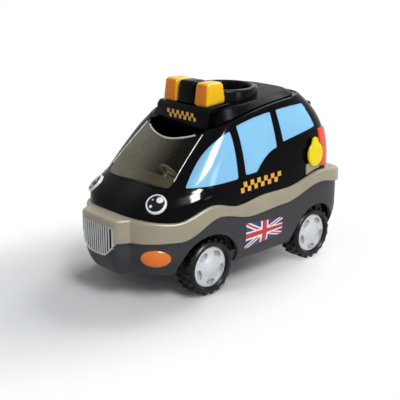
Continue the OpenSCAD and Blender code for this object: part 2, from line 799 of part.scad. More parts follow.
module roof_lamp_right() { color(amber) deck_block(-lamp_y, lamp_w, lamp_l, lamp_h); }
module sign_bridge() { color(black) deck_block(0, bridge_w, lamp_l, lamp_h); }

module headlamp(side) {
  r = headlamp_d / 2;
  color("white")
    on_skin(side * headlamp_a, headlamp_t_share)
      translate([0, 0, piece_gap / 2 - headlamp_sink])
        rotate_extrude()
          polygon([[0, 0], [r, 0], [r, headlamp_sink], [r - headlamp_rim, headlamp_sink + headlamp_proud],
                   [0, headlamp_sink + headlamp_proud]]);
}
module headlamp_left() { headlamp(1); }
module headlamp_right() { headlamp(-1); }

// Oval indicators on the front corners of the skirt
indicator_a = 25;
indicator_z = 26.2;
indicator_l = 17.4;
indicator_h = 10.4;
indicator_reach = 14;
module indicator(side) {
  columns = 10;
  p = skirt_p(indicator_a, 0);
  q = skirt_p(indicator_a, overrun);
  sections = [for (i = [0:columns])
    let (a = indicator_a + indicator_reach * (2 * i / columns - 1))
    let (low = indicator_z - indicator_h, high = indicator_z + indicator_h)
    [lifted(skirt_p(a, belt_proud), low), lifted(skirt_p(a, belt_proud), high),
     lifted(skirt_p(a, piece_gap), high), lifted(skirt_p(a, piece_gap), low)]];
  color(orange)
    mirror([0, side < 0 ? 1 : 0, 0])
      intersection() {
        sweep(sections, false);
        translate(lifted(p, indicator_z))
          rotate([90, 0, 90 + atan2(q[1] - p[1], q[0] - p[0])])
            linear_extrude(2 * indicator_l, center = true)
              polygon([for (i = [0:$fn - 1])
                       let (a = i * 360 / $fn) [indicator_l / 2 * cos(a), indicator_h / 2 * sin(a)]]);
      }
}
module indicator_left() { indicator(1); }
module indicator_right() { indicator(-1); }

// Tail lamps that wrap round the rear corners
tail_from = 143;
tail_to = 152;
tail_low_share = 0.09;
tail_high_share = 0.58;
tail_t = 1;
module tail_lamp_left() { color("#e2502e") tail_lamp(1); }
module tail_lamp_right() { color("#e2502e") tail_lamp(-1); }
module tail_lamp(side) {
  mirror([0, side < 0 ? 1 : 0, 0])
    skin_patch(tail_from, tail_to, tail_low_share, tail_high_share, tail_t, piece_gap, 6, 8);
}

// Window panels, set a little below the skin
module side_layer(side) {
  mirror([0, side < 0 ? 1 : 0, 0])
    skin_layer(half_turns[1], 180 - half_turns[1], -glass_sink, -glass_sink - glass_t);
}
module front_panel(side) {
  color(sky)
    intersection() {
      side_layer(side);
      front_window_prism(side, piece_gap);
    }
}
module window_panel(side) {
  color(sky)
    intersection() {
      side_layer(side);
      side_prism(side) offset(delta = -piece_gap) children();
    }
}
module window_front_left() { front_panel(1); }
module window_middle_left() { window_panel(1) middle_window_2d(); }
module window_rear_left() { window_panel(1) rear_window_2d(); }
module window_front_right() { front_panel(-1); }
module window_middle_right() { window_panel(-1) middle_window_2d(); }
module window_rear_right() { window_panel(-1) rear_window_2d(); }

// Plate behind the fuel cap, the cap's pivot and the cap itself
plate_from = 133.4;
plate_to = 143;
plate_low_share = 0.07;
plate_high_share = 0.2;
plate_proud = 0.65;
module fuel_plate() {
  color(beige)
    skin_patch(plate_from, plate_to, plate_low_share, plate_high_share, plate_proud, piece_gap, 6, 4);
}
module fuel_pivot() {
  color(charcoal)
    on_skin(cap_a, cap_t_share) {
      translate([0, 0, -2 * wall])
        cylinder(h = 2 * wall + cap_lift + cap_t - cap_skin - move_gap, r = cap_pin_r);
      translate([0, 0, -2 * wall])
        cylinder(h = wall - 2 * piece_gap, r = 2 * cap_pin_r);
    }
}
module fuel_cap() {
  color(amber)
    on_skin(cap_a, cap_t_share)
      rotate([0, 0, 180])
        translate([0, 0, cap_lift])
          difference() {
            linear_extrude(cap_t) {
              circle(r = cap_r);
              hull() {
                translate([cap_head_l, 0])
                  circle(r = cap_head_r);
                circle(r = cap_neck_r);
              }
            }
            translate([0, 0, -overrun])
              cylinder(h = cap_t - cap_skin + overrun, r = cap_pin_r + bearing_gap);
          }
}

// Tailgate hung on a pin along its upper edge
gate_window_low_z = 74;
gate_window_inset = 5;
module gate_window_2d() {
  intersection() {
    offset(delta = -gate_window_inset)
      gate_2d();
    translate([-body_w / 2, gate_window_low_z])
      square([body_w, hinge_p[2] - gate_window_low_z - barrel_r - gate_window_inset / 2]);
  }
}
gate_grip_w = 16;
gate_grip_r = 2;
gate_grip_share = 0.26;
module gate_skin(out, in) { skin_layer(134, 226, out, in); }
module tailgate() {
  color(black)
    difference() {
      union() {
        intersection() {
          gate_skin(0, -wall);
          long_prism(-body_l, 0) gate_2d();
        }
        translate(hinge_p)
          across(gate_top_w - move_gap, barrel_r);
        translate(skin_at(180, gate_grip_share, 0))
          across(gate_grip_w, gate_grip_r);
      }
      long_prism(-body_l, 0) gate_window_2d();
      translate(hinge_p)
        across(gate_top_w + 2 * overrun, gate_pin_r + bearing_gap);
      for (side = [-1, 1])
        translate(hinge_p + [0, side * (gate_top_w / 2 + knuckle_w), 0])
          across(2 * knuckle_w, barrel_r + move_gap);
    }
}
module tailgate_window() {
  color(sky)
    intersection() {
      gate_skin(-glass_sink, -glass_sink - glass_t);
      long_prism(-body_l, 0) offset(delta = -piece_gap) gate_window_2d();
    }
}
module tailgate_knuckles() {
  color(black)
    for (side = [-1, 1])
      translate(hinge_p + [0, side * (gate_top_w / 2 + move_gap + knuckle_w / 2), 0])
        difference() {
          across(knuckle_w, barrel_r);
          across(knuckle_w + 2 * overrun, gate_pin_r);
        }
}
module tailgate_pin() {
  color(steel)
    translate(hinge_p)
      across(gate_top_w + 2 * knuckle_w + 2 * move_gap, gate_pin_r);
}

// Axle bearings under the chassis plate
bearing_l = 10;
bearing_w = 6;
bearing_drop = 4;
module bearing(x, side) {
  y = side * (well_inner_y - bearing_w / 2);
  low = wheel_r - axle_d / 2 - bearing_drop / 2;
  color(charcoal)
    translate([x, y, 0])
      difference() {
        translate([-bearing_l / 2, -bearing_w / 2, low])
          cube([bearing_l, bearing_w, chassis_z - low]);
        translate([0, 0, wheel_r])
          across(bearing_w + 2 * overrun, axle_d / 2 + bearing_gap);
      }
}
module front_bearing_left() { bearing(front_axle_l, 1); }
module front_bearing_right() { bearing(front_axle_l, -1); }
module rear_bearing_left() { bearing(-rear_axle_l, 1); }
module rear_bearing_right() { bearing(-rear_axle_l, -1); }

// Axles, hubs and tyres
hub_back = 2;
hub_dome = 1.4;
hub_pocket_r = 3;
hub_pocket_depth = 1.6;
hub_pocket_share = 0.62;
hub_pockets = 5;
axle_end = 3;
module axle(x) {
  color(steel)
    translate([x, 0, wheel_r])
      across(wheel_span - 2 * axle_end, axle_d / 2);
}
module front_axle() { axle(front_axle_l); }
module rear_axle() { axle(-rear_axle_l); }
module wheel_place(x, side) {
  translate([x, side * (wheel_span / 2 - tyre_w / 2), wheel_r])
    rotate([side > 0 ? -90 : 90, 0, 0])
      children();
}
module hub(x, side) {
  half = tyre_w / 2;
  face = half - hub_dome;
  color(silver)
    wheel_place(x, side)
      difference() {
        rotate_extrude($fn = 72)
          polygon(concat([[0, hub_back - half], [hub_r, hub_back - half], [hub_r, face - hub_dome / 2],
                          [hub_r - hub_dome, face]],
                         curve([hub_r / 2, face], [hub_r / 3, half], [0, half], curve_steps)));
        for (i = [0:hub_pockets - 1])
          rotate([0, 0, i * 360 / hub_pockets])
            translate([hub_r * hub_pocket_share, 0, face - hub_pocket_depth])
              cylinder(h = tyre_w, r = hub_pocket_r);
        translate([0, 0, -tyre_w])
          cylinder(h = tyre_w + half - axle_end, d = axle_d);
      }
}
module front_hub_left() { hub(front_axle_l, 1); }
module front_hub_right() { hub(front_axle_l, -1); }
module rear_hub_left() { hub(-rear_axle_l, 1); }
module rear_hub_right() { hub(-rear_axle_l, -1); }

tread_depth = 0.8;
tread_lugs = 20;
lug_l = 2.2;
lug_w = 3;
lug_over = 0.6;
tyre_round = 2;
module tyre(x, side) {
  half = tyre_w / 2;
  crown = wheel_r - tread_depth;
  color("#17181a")
    wheel_place(x, side) {
      rotate_extrude($fn = 72)
        polygon([[hub_r, hub_back - half], [hub_r + tyre_round / 2, -half], [crown - tyre_round, -half],
                 [crown, tyre_round - half], [crown, half - tyre_round], [crown - tyre_round, half],
                 [hub_r + tyre_round / 2, half], [hub_r, half - tyre_round]]);
      for (i = [0:tread_lugs - 1])
        for (row = [-1, 1])
          rotate([0, 0, (i + 1 / 2 - row / 4) * 360 / tread_lugs])
            translate([crown - tread_depth, -lug_l / 2,
                       row * (half - tyre_round + lug_over - lug_w / 2) - lug_w / 2])
              cube([2 * tread_depth, lug_l, lug_w]);
    }
}
module front_tyre_left() { tyre(front_axle_l, 1); }
module front_tyre_right() { tyre(front_axle_l, -1); }
module rear_tyre_left() { tyre(-rear_axle_l, 1); }
module rear_tyre_right() { tyre(-rear_axle_l, -1); }

// Friction drive: axle gear, idler and flywheel pinion, with involute teeth
wheel_teeth = 20;
pinion_teeth = 10;
pressure = 25;
addendum_share = 0.85;
dedendum_share = 1.25;
backlash_share = 0.3;
flank_steps = 4;
mesh_l = gear_m * (wheel_teeth + pinion_teeth) / 2;
idler_dir = 20;
fly_dir = 35;
idler_p = [-rear_axle_l, wheel_r] + polar(mesh_l, idler_dir);
fly_p = idler_p + polar(mesh_l, fly_dir);
lane_a = -6.6;
lane_b = -2.2;
lane_c = 4.2;
function involute_deg(r, base) = let (a = acos(base / r)) tan(a) * 180 / PI - a;
module gear_2d(teeth, dir) {
  pitch_r = gear_m * teeth / 2;
  base = pitch_r * cos(pressure);
  tip = pitch_r + gear_m * addendum_share;
  root = pitch_r - gear_m * dedendum_share;
  thick = (PI / 2 - backlash_share) * gear_m;
  half = thick / pitch_r / 2 * 180 / PI + involute_deg(pitch_r, base);
  start = max(base, root);
  radii = [for (i = [0:flank_steps]) lerp(start, tip, i / flank_steps)];
  angles = [for (r = radii) half - involute_deg(r, base)];
  polygon([for (k = [0:teeth - 1])
           let (mid = dir + k * 360 / teeth)
           each concat([polar(root, mid - angles[0])],
                       [for (i = [0:flank_steps]) polar(radii[i], mid - angles[i])],
                       [for (i = [flank_steps:-1:0]) polar(radii[i], mid + angles[i])],
                       [polar(root, mid + angles[0])])]);
}
// A gear or disc at a point of the side view, centred on its lane
module at_lane(p, y) {
  translate([p[0], y, p[1]])
    children();
}
module gear(teeth, dir, width) {
  translate([0, width / 2, 0])
    rotate([90, 0, 0])
      linear_extrude(width)
        gear_2d(teeth, dir);
}
module axle_gear() {
  color(amber)
    at_lane([-rear_axle_l, wheel_r], lane_a)
      difference() {
        gear(wheel_teeth, idler_dir, gear_w);
        across(gear_w + 2 * overrun, axle_d / 2);
      }
}
gearbox_w = 20;
gearbox_wall = 1.6;
gear_room = 0.7;
module idler_gear() {
  color(silver) {
    at_lane(idler_p, lane_a)
      gear(pinion_teeth, idler_dir + 180 + 180 / pinion_teeth, gear_w);
    at_lane(idler_p, lane_b)
      gear(wheel_teeth, fly_dir, gear_w);
    at_lane(idler_p, 0)
      across(gearbox_w - gearbox_wall, shaft_d / 2);
  }
}
module flywheel() {
  color(steel)
    difference() {
      union() {
        at_lane(fly_p, lane_b)
          gear(pinion_teeth, fly_dir + 180 + 180 / pinion_teeth, gear_w);
        at_lane(fly_p, lane_c)
          across(flywheel_w, flywheel_d / 2);
        at_lane(fly_p, (lane_b + lane_c) / 2)
          across(lane_c - lane_b, shaft_d);
      }
      at_lane(fly_p, 0)
        across(gearbox_w, shaft_d / 2);
    }
}
module flywheel_shaft() {
  color(steel)
    at_lane(fly_p, 0)
      across(gearbox_w - gearbox_wall, shaft_d / 2);
}

// Gearbox: two halves that meet on the middle plane
gear_tip_r = gear_m * (wheel_teeth / 2 + addendum_share);
module gearbox_2d(grow) {
  hull() {
    translate([-rear_axle_l, wheel_r])
      circle(r = gear_tip_r + gear_room + grow);
    translate(idler_p)
      circle(r = gear_tip_r + gear_room + grow);
    translate(fly_p)
      circle(r = flywheel_d / 2 + gear_room + grow);
  }
}
module gearbox_window() {
  reach = gear_tip_r + gear_room + gearbox_wall + piece_gap;
  fly_reach = flywheel_d / 2 + gear_room + gearbox_wall + piece_gap;
  half = gearbox_w / 2 + piece_gap;
  polygon([[-rear_axle_l - reach, -half], [fly_p[0] + fly_reach, -half],
           [fly_p[0] + fly_reach, half], [-rear_axle_l - reach, half]]);
}
module gearbox_half(side) {
  half = gearbox_w / 2;
  color(charcoal)
    mirror([0, side < 0 ? 1 : 0, 0])
      difference() {
        translate([0, half, 0])
          rotate([90, 0, 0])
            linear_extrude(half - piece_gap / 2)
              gearbox_2d(gearbox_wall);
        translate([0, half - gearbox_wall, 0])
          rotate([90, 0, 0])
            linear_extrude(half)
              gearbox_2d(0);
        at_lane([-rear_axle_l, wheel_r], half)
          across(gearbox_w, axle_d / 2 + bearing_gap);
        for (p = [idler_p, fly_p])
          at_lane(p, half)
            across(2 * gearbox_wall + overrun, shaft_d / 2 + bearing_gap);
      }
}
module gearbox_left() { gearbox_half(1); }
module gearbox_right() { gearbox_half(-1); }

upper_shell();
belt_trim();
lower_skirt();
chassis_plate();
cabin_floor();
windscreen();
dashboard();
steering_wheel();
driver_seat();
passenger_well();
roof_panel();
sign_box();
sign_bridge();
roof_lamp_left();
roof_lamp_right();
grille();
headlamp_left();
headlamp_right();
indicator_left();
indicator_right();
tail_lamp_left();
tail_lamp_right();
window_front_left();
window_middle_left();
window_rear_left();
window_front_right();
window_middle_right();
window_rear_right();
fuel_plate();
fuel_pivot();
fuel_cap();
tailgate();
tailgate_window();
tailgate_knuckles();
tailgate_pin();
front_bearing_left();
front_bearing_right();
rear_bearing_left();
rear_bearing_right();
front_axle();
front_hub_left();
front_hub_right();
front_tyre_left();
front_tyre_right();
rear_axle();
rear_hub_left();
rear_hub_right();
rear_tyre_left();
rear_tyre_right();
axle_gear();
idler_gear();
flywheel();
flywheel_shaft();
gearbox_left();
gearbox_right();
base_screws();
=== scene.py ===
import math

import bpy
import numpy as np
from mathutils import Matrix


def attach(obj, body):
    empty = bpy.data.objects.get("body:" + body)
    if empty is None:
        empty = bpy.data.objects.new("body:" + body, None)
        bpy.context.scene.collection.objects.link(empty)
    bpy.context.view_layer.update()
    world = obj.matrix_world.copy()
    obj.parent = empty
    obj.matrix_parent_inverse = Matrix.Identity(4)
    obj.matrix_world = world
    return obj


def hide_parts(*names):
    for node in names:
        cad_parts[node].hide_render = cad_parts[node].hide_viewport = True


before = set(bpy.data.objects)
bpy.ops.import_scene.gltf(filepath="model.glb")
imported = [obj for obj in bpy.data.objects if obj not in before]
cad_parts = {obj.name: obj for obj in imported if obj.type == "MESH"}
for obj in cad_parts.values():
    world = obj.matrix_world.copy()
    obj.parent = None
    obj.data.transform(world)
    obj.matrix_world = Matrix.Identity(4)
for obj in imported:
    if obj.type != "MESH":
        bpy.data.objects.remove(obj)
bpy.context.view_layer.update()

MM = 0.001

# Sizes of the taxi in millimetres, the same as in the part's source
BODY_L, BODY_W, WALL, BELT_PROUD = 164.0, 92.0, 2.2, 1.6
NOSE_L, HALF_W = BODY_L / 2 - BELT_PROUD, BODY_W / 2 - BELT_PROUD
FRONT_L, TAIL_L, NOSE_W = NOSE_L - 7.0, NOSE_L - 4.0, 37.6
SKIRT_Z, TUCK, BELT_COVER = 15.0, 5.0, 2.0
ROOF_X, GUT_FRONT, GUT_REAR, GUT_HALF = -14.0, 38.9, 45.0, 33.6
HOOD_PROUD, HOOD_Z, ROOF_REAR_Z = 3.4, 62.6, 105.8
GUTTER_Z, GUTTER_RISE, ROOF_FRONT_Z = 89.5, 13.1, 100
SIGN_OUT, SIGN_DEEP, SIGN_LIP, SIGN_LEDGE = 33.1, 17.6, 2, 4
SIGN_X = ROOF_X + SIGN_OUT
DECK_REAR, DECK_FRONT = SIGN_X - SIGN_DEEP, SIGN_X - SIGN_LIP
SIDE_LEAN, FRONT_LEAN, REAR_LEAN = 1.87, 0.98, 3.3
BELT_TOP_Z, BELT_TOP_RISE, BELT_LOW_Z, BELT_LOW_RISE = 46.4, 11.2, 34.2, 16.3
BELT_TOP = [(1, 0.2), (0.68, 0), (0.405, 0.62), (0.19, 0.31),
            (-0.09, 0.54), (-0.28, 0.54), (-0.68, 1), (-1, 0.72)]
BELT_LOW = [(1, 0), (0.65, 0.07), (0.35, 0.72), (0.07, 0.46),
            (-0.27, 0.56), (-0.66, 1), (-1, 0.72)]
AXLES = {"front": 33.4, "rear": -52.8}
WHEEL_R, TYRE_W, HUB_R, WHEEL_SPAN, ARCH_R = 16.5, 14.0, 12.0, 84.0, 19.8
SIDES = ((1, "left"), (-1, "right"))


# Surface of the body
def cosd(a):
    return np.cos(np.radians(a))


def sind(a):
    return np.sin(np.radians(a))


def oval(a, lx, ly, n):
    return (np.abs(cosd(a) / lx) ** n + np.abs(sind(a) / ly) ** n) ** (-1.0 / n)


def wave(x, level, rise, shares):
    s = np.clip(np.asarray(x, float) / (BODY_L / 2), -1, 1)
    xs = np.array([p[0] for p in reversed(shares)])
    ys = np.array([p[1] for p in reversed(shares)])
    i = np.clip(np.searchsorted(xs, s, side="right") - 1, 0, len(xs) - 2)
    t = (s - xs[i]) / (xs[i + 1] - xs[i])
    return level + rise * (ys[i] + (ys[i + 1] - ys[i]) * t * t * (3 - 2 * t))


def body_r(a):
    return np.where(cosd(a) >= 0, oval(a, FRONT_L, HALF_W, 2.9), oval(a, NOSE_L, HALF_W, 8))


def skirt_r(a):
    nose = np.where(cosd(a) > 0, oval(a, NOSE_L, NOSE_W / 2, 7), 0)
    return (body_r(a) ** 60 + nose ** 60) ** (1 / 60.0)


def cabin_r(a):
    return np.where(cosd(a) >= 0, body_r(a), oval(a, TAIL_L, HALF_W, 4.6))


def gutter_r(a):
    return np.where(cosd(a) >= 0, oval(a, GUT_FRONT, GUT_HALF, 4.5),
                    oval(a, GUT_REAR, GUT_HALF, 3.7))


def belt_top(a):
    return wave(body_r(a) * cosd(a), BELT_TOP_Z, BELT_TOP_RISE, BELT_TOP)


def belt_low(a):
    return wave(body_r(a) * cosd(a), BELT_LOW_Z, BELT_LOW_RISE, BELT_LOW)


def belt_middle(a):
    return (belt_top(a) + belt_low(a)) / 2


def skirt_tuck(a, z):
    """How far the skirt draws in below the belt."""
    return TUCK * np.maximum(0, 1 - (z - SKIRT_Z) / (belt_middle(a) - SKIRT_Z) / 0.5) ** 2


def gutter_z(x):
    t = np.clip((ROOF_X + GUT_FRONT - x) / (GUT_FRONT + GUT_REAR), 0, 1)
    return GUTTER_Z + GUTTER_RISE * (1 - (1 - t) ** 2.4)


def roof_z(x):
    t = np.clip((SIGN_X - SIGN_LEDGE - x) / (SIGN_OUT + GUT_REAR - SIGN_LEDGE), 0, 1)
    return ROOF_FRONT_Z + (ROOF_REAR_Z - ROOF_FRONT_Z) * (1 - (1 - t) ** 1.5)


def outline_p(radius, a, out):
    """Point of a plan outline in a direction, moved outwards."""
    r1, r0 = radius(a + 0.5), radius(a - 0.5)
    qx = r1 * cosd(a + 0.5) - r0 * cosd(a - 0.5)
    qy = r1 * sind(a + 0.5) - r0 * sind(a - 0.5)
    q = np.hypot(qx, qy)
    r = radius(a)
    return r * cosd(a) + out * qy / q, r * sind(a) - out * qx / q


def skin_p(a, t):
    """Point of the cabin's skin in a direction, from the belt at 0 to the gutter at 1."""
    a, t = np.broadcast_arrays(np.asarray(a, float), np.asarray(t, float))
    front = cosd(a) >= 0
    end_lean, corner = np.where(front, FRONT_LEAN, REAR_LEAN), np.where(front, 0.4, 0.6)
    lean = SIDE_LEAN + (end_lean - SIDE_LEAN) * cosd(a) ** 2 + corner * sind(2 * a) ** 2
    g = np.clip(t, 0, None) ** lean
    r, k = cabin_r(a), gutter_r(a)
    gx = ROOF_X + k * cosd(a)
    x = r * cosd(a) * (1 - g) + gx * g
    y = r * sind(a) * (1 - g) + k * sind(a) * g
    top = belt_top(a)
    z = top - BELT_COVER + (gutter_z(gx) - top + BELT_COVER) * t
    up = np.clip((z - top) / (HOOD_Z - top), 0, 1)
    bulge = HOOD_PROUD * np.sin(np.pi * up) * np.maximum(cosd(a), 0) ** 1.2
    return np.stack([x + bulge * cosd(a), y + bulge * sind(a), z], -1)


def skin_n(a, t):
    round_ = skin_p(a + 0.5, t) - skin_p(a - 0.5, t)
    up = skin_p(a, t + 0.01) - skin_p(a, np.maximum(0, t - 0.01))
    n = np.cross(round_, up)
    return n / np.linalg.norm(n, axis=-1, keepdims=True)


def skin_at(a, t, out):
    return skin_p(a, t) + out * skin_n(a, t)


def skin_find(p, q, axes, a, t):
    """Direction and height on the skin where two of its coordinates have given values."""
    a, t = np.full(np.shape(p), float(a)), np.full(np.shape(p), float(t))
    for _ in range(25):
        f = skin_p(a, t)[..., axes] - np.stack([p, q], -1)
        da = (skin_p(a + 0.05, t)[..., axes] - skin_p(a - 0.05, t)[..., axes]) / 0.1
        above, below = skin_p(a, t + 0.002), skin_p(a, np.maximum(t - 0.002, 0))
        dt = (above[..., axes] - below[..., axes]) / 0.004
        det = da[..., 0] * dt[..., 1] - da[..., 1] * dt[..., 0]
        a = a - np.clip((f[..., 0] * dt[..., 1] - f[..., 1] * dt[..., 0]) / det, -8, 8)
        rise = (da[..., 0] * f[..., 1] - da[..., 1] * f[..., 0]) / det
        t = np.clip(t - np.clip(rise, -0.2, 0.2), 0.004, 1.1)
    return a, t


# Modelling helpers
def deselect():
    if bpy.context.mode != "OBJECT":
        bpy.ops.object.mode_set(mode="OBJECT")
    bpy.ops.object.select_all(action="DESELECT")


def pick(ob):
    deselect()
    ob.select_set(True)
    bpy.context.view_layer.objects.active = ob


def tidy_mesh(ob, fill=False):
    pick(ob)
    bpy.ops.object.mode_set(mode="EDIT")
    bpy.ops.mesh.select_all(action="SELECT")
    bpy.ops.mesh.remove_doubles(threshold=2e-6)
    if fill:
        bpy.ops.mesh.select_all(action="SELECT")
        bpy.ops.mesh.fill_holes(sides=0)
    bpy.ops.mesh.select_all(action="SELECT")
    bpy.ops.mesh.normals_make_consistent(inside=False)
    bpy.ops.object.mode_set(mode="OBJECT")


def points_of(ob):
    co = np.empty(len(ob.data.vertices) * 3)
    ob.data.vertices.foreach_get("co", co)
    return co.reshape(-1, 3)


def set_points(ob, pts):
    ob.data.vertices.foreach_set("co", np.ascontiguousarray(pts, float).ravel())
    ob.data.update()


def loft(name, nu, nv, place, fill=False):
    """A grid laid over a surface: place gives millimetre points for two runs from 0 to 1."""
    deselect()
    bpy.ops.mesh.primitive_grid_add(x_subdivisions=nu, y_subdivisions=nv, size=1)
    ob = bpy.context.object
    ob.name = ob.data.name = name
    co = points_of(ob)
    set_points(ob, place(co[:, 0] + 0.5, co[:, 1] + 0.5) * MM)
    tidy_mesh(ob, fill)
    return ob


def apply(ob, kind, **values):
    pick(ob)
    m = ob.modifiers.new(kind.lower(), kind)
    for k, v in values.items():
        setattr(m, k, v)
    bpy.ops.object.modifier_apply(modifier=m.name)


def thicken(ob, mm):
    apply(ob, "SOLIDIFY", thickness=mm * MM, offset=-1, use_even_offset=True)


def bevel(ob, mm, segments=3, angle=35):
    apply(ob, "BEVEL", width=mm * MM, segments=segments, limit_method="ANGLE",
          angle_limit=math.radians(angle))


def cut(ob, tool, operation="DIFFERENCE", keep=False):
    apply(ob, "BOOLEAN", object=tool, operation=operation, solver="EXACT")
    if not keep:
        bpy.data.objects.remove(tool)


def smooth(ob, angle=35):
    pick(ob)
    bpy.ops.object.shade_smooth_by_angle(angle=math.radians(angle))


def join(obs):
    deselect()
    for o in obs:
        o.select_set(True)
    bpy.context.view_layer.objects.active = obs[0]
    bpy.ops.object.join()
    return obs[0]


def prism(name, outline, plane, low, high):
    """A closed outline pushed from one level to another, across the named plane."""
    pts = np.asarray(outline, float)
    deselect()
    bpy.ops.mesh.primitive_circle_add(vertices=len(pts), radius=1, fill_type="NGON")
    ob = bpy.context.object
    ob.name = ob.data.name = name
    at = {"XZ": (0, 2, 1), "YZ": (1, 2, 0), "XY": (0, 1, 2)}[plane]
    co = np.zeros((len(pts), 3))
    co[:, at[0]], co[:, at[1]], co[:, at[2]] = pts[:, 0], pts[:, 1], low
    set_points(ob, co * MM)
    push = [0, 0, 0]
    push[at[2]] = (high - low) * MM
    bpy.ops.object.mode_set(mode="EDIT")
    bpy.ops.mesh.select_all(action="SELECT")
    bpy.ops.mesh.extrude_region_move(TRANSFORM_OT_translate={"value": push})
    bpy.ops.mesh.select_all(action="SELECT")
    bpy.ops.mesh.normals_make_consistent(inside=False)
    bpy.ops.object.mode_set(mode="OBJECT")
    return ob


def lathe(name, profile, n=96):
    """A closed profile of radius and height turned about the upright axis."""
    pr = np.asarray(profile, float)

    def place(u, v):
        k = np.rint(v * (len(pr) - 1)).astype(int)
        w = 2 * np.pi * u
        return np.stack([pr[k, 0] * np.cos(w), pr[k, 0] * np.sin(w), pr[k, 1]], -1)

    return loft(name, n, len(pr) - 1, place)


def turned(ob, matrix, move):
    """Lays a piece made about the origin into its place."""
    set_points(ob, points_of(ob) @ np.asarray(matrix, float).T + np.asarray(move, float) * MM)
    return ob


def moved(ob, move):
    return turned(ob, np.eye(3), move)


def turn_z(q):
    return [[np.cos(q), -np.sin(q), 0], [np.sin(q), np.cos(q), 0], [0, 0, 1]]


def tube(name, path, r, sides=10):
    """A closed round rod along a path."""
    path = np.asarray(path, float)
    along = np.gradient(path, axis=0)
    along /= np.linalg.norm(along, axis=1, keepdims=True)
    side = np.cross(along, [0.13, 0.21, 0.97])
    side /= np.linalg.norm(side, axis=1, keepdims=True)
    top = np.cross(side, along)

    def place(u, v):
        k = np.rint(u * (len(path) - 1)).astype(int)
        w = 2 * np.pi * v
        return path[k] + r * (side[k] * np.cos(w)[:, None] + top[k] * np.sin(w)[:, None])

    return loft(name, len(path) - 1, sides, place, fill=True)


def copied(ob, name, scale=(1, 1, 1)):
    """A copy with its own mesh, scaled along the axes."""
    c = ob.copy()
    c.data = ob.data.copy()
    c.name = c.data.name = name
    bpy.context.scene.collection.objects.link(c)
    set_points(c, points_of(c) * scale)
    return c


def other_side(ob, name):
    """The same piece for the right side, with its faces turned outwards again."""
    c = copied(ob, name, (1, -1, 1))
    pick(c)
    bpy.ops.object.mode_set(mode="EDIT")
    bpy.ops.mesh.select_all(action="SELECT")
    bpy.ops.mesh.flip_normals()
    bpy.ops.object.mode_set(mode="OBJECT")
    return c


# Flat outlines
def bow(p, q, r, steps=8):
    """Points of a bowed line from p to r, drawn towards q."""
    p, q, r = (np.asarray(v, float) for v in (p, q, r))
    run = np.linspace(0, 1, steps + 1)
    return [p * (1 - t) ** 2 + 2 * q * t * (1 - t) + r * t * t for t in run]


def fillet(points, r, steps=6):
    """Rounds the corners of a closed outline."""
    p = np.asarray(points, float)
    out = []
    for i in range(len(p)):
        a, b, c = p[i - 1], p[i], p[(i + 1) % len(p)]
        d = min(r, 0.45 * np.linalg.norm(a - b), 0.45 * np.linalg.norm(c - b))
        start = b + (a - b) / np.linalg.norm(a - b) * d
        end = b + (c - b) / np.linalg.norm(c - b) * d
        out += bow(start, b, end, steps - 1)
    return np.array(out)


def inset(points, d):
    """Moves a closed outline inwards by a small distance."""
    p = np.asarray(points, float)
    area = np.sum(p[:, 0] * np.roll(p[:, 1], -1) - np.roll(p[:, 0], -1) * p[:, 1])
    tan = np.roll(p, -1, 0) - np.roll(p, 1, 0)
    tan /= np.linalg.norm(tan, axis=1, keepdims=True)
    n = np.stack([-tan[:, 1], tan[:, 0]], 1) * np.sign(area)
    return p + n * d


def ring(cx, cy, rx, ry, n=48):
    w = np.linspace(0, 2 * np.pi, n, endpoint=False)
    return np.stack([cx + rx * np.cos(w), cy + ry * np.sin(w)], 1)


PANE_Z, PANE_RISE, PANE_ROUND = 63.5, 35.5, 1.6
SCREEN_LOW, SCREEN_TOP, SCREEN_END_Z = 28, 24.4, 120
NOTCH_DEEP, NOTCH_HALF = 12, 25.4
LAMP_A, LAMP_T = 23.5, 0.258
HINGE_R = 2.4
HINGE = skin_at(180.0, 0.86, -HINGE_R)
GATE_Z, GATE_LOW, GATE_TOP = 63, 54, 40
GATE_PANE_Z, GATE_PANE_TOP, GATE_FRAME = 74, 90, 5.5


def pane(share):
    """Point of a side window, as shares of the body's half length and the windows' rise."""
    return np.array([share[0] * BODY_L / 2, PANE_Z + PANE_RISE * share[1]])


def pane_bow(p, q, r):
    return bow(pane(p), pane(q), pane(r), 12)


def gate_half(z):
    return (GATE_LOW + (GATE_TOP - GATE_LOW) * (z - GATE_Z) / (HINGE[2] - GATE_Z)) / 2


def gate_outline(low, high, frame_w, r):
    """The gate's tapered outline between two heights, less a frame at its sides."""
    wide, narrow = gate_half(low) - frame_w, gate_half(high) - frame_w
    return fillet([(-wide, low), (wide, low), (narrow, high), (-narrow, high)], r)


FRONT_PANE = fillet(pane_bow((0.566, 0), (0.376, 0.6), (0.163, 0.762))
                    + [pane((0.172, 0.03))], PANE_ROUND)
MIDDLE_PANE = fillet([pane((0.107, 0.82)), pane((0.104, 0.06))]
                     + pane_bow((-0.006, 0.07), (-0.11, 0.34), (-0.219, 0.39))
                     + pane_bow((-0.224, 0.95), (-0.058, 0.92), (0.107, 0.82))[:-1], PANE_ROUND)
REAR_PANE = fillet([pane((-0.276, 0.962))]
                   + pane_bow((-0.281, 0.455), (-0.475, 0.54), (-0.652, 0.59))
                   + pane_bow((-0.585, 0.985), (-0.43, 1), (-0.276, 0.962))[:-1], PANE_ROUND)
SCREEN = fillet([(-SCREEN_LOW, HOOD_Z), (SCREEN_LOW, HOOD_Z), (SCREEN_TOP, GUTTER_Z),
                 (SCREEN_TOP, SCREEN_END_Z), (-SCREEN_TOP, SCREEN_END_Z),
                 (-SCREEN_TOP, GUTTER_Z)], 4)
GATE = gate_outline(GATE_Z, HINGE[2], 0, 4)
GATE_PANE = gate_outline(GATE_PANE_Z, GATE_PANE_TOP, GATE_FRAME, 3)


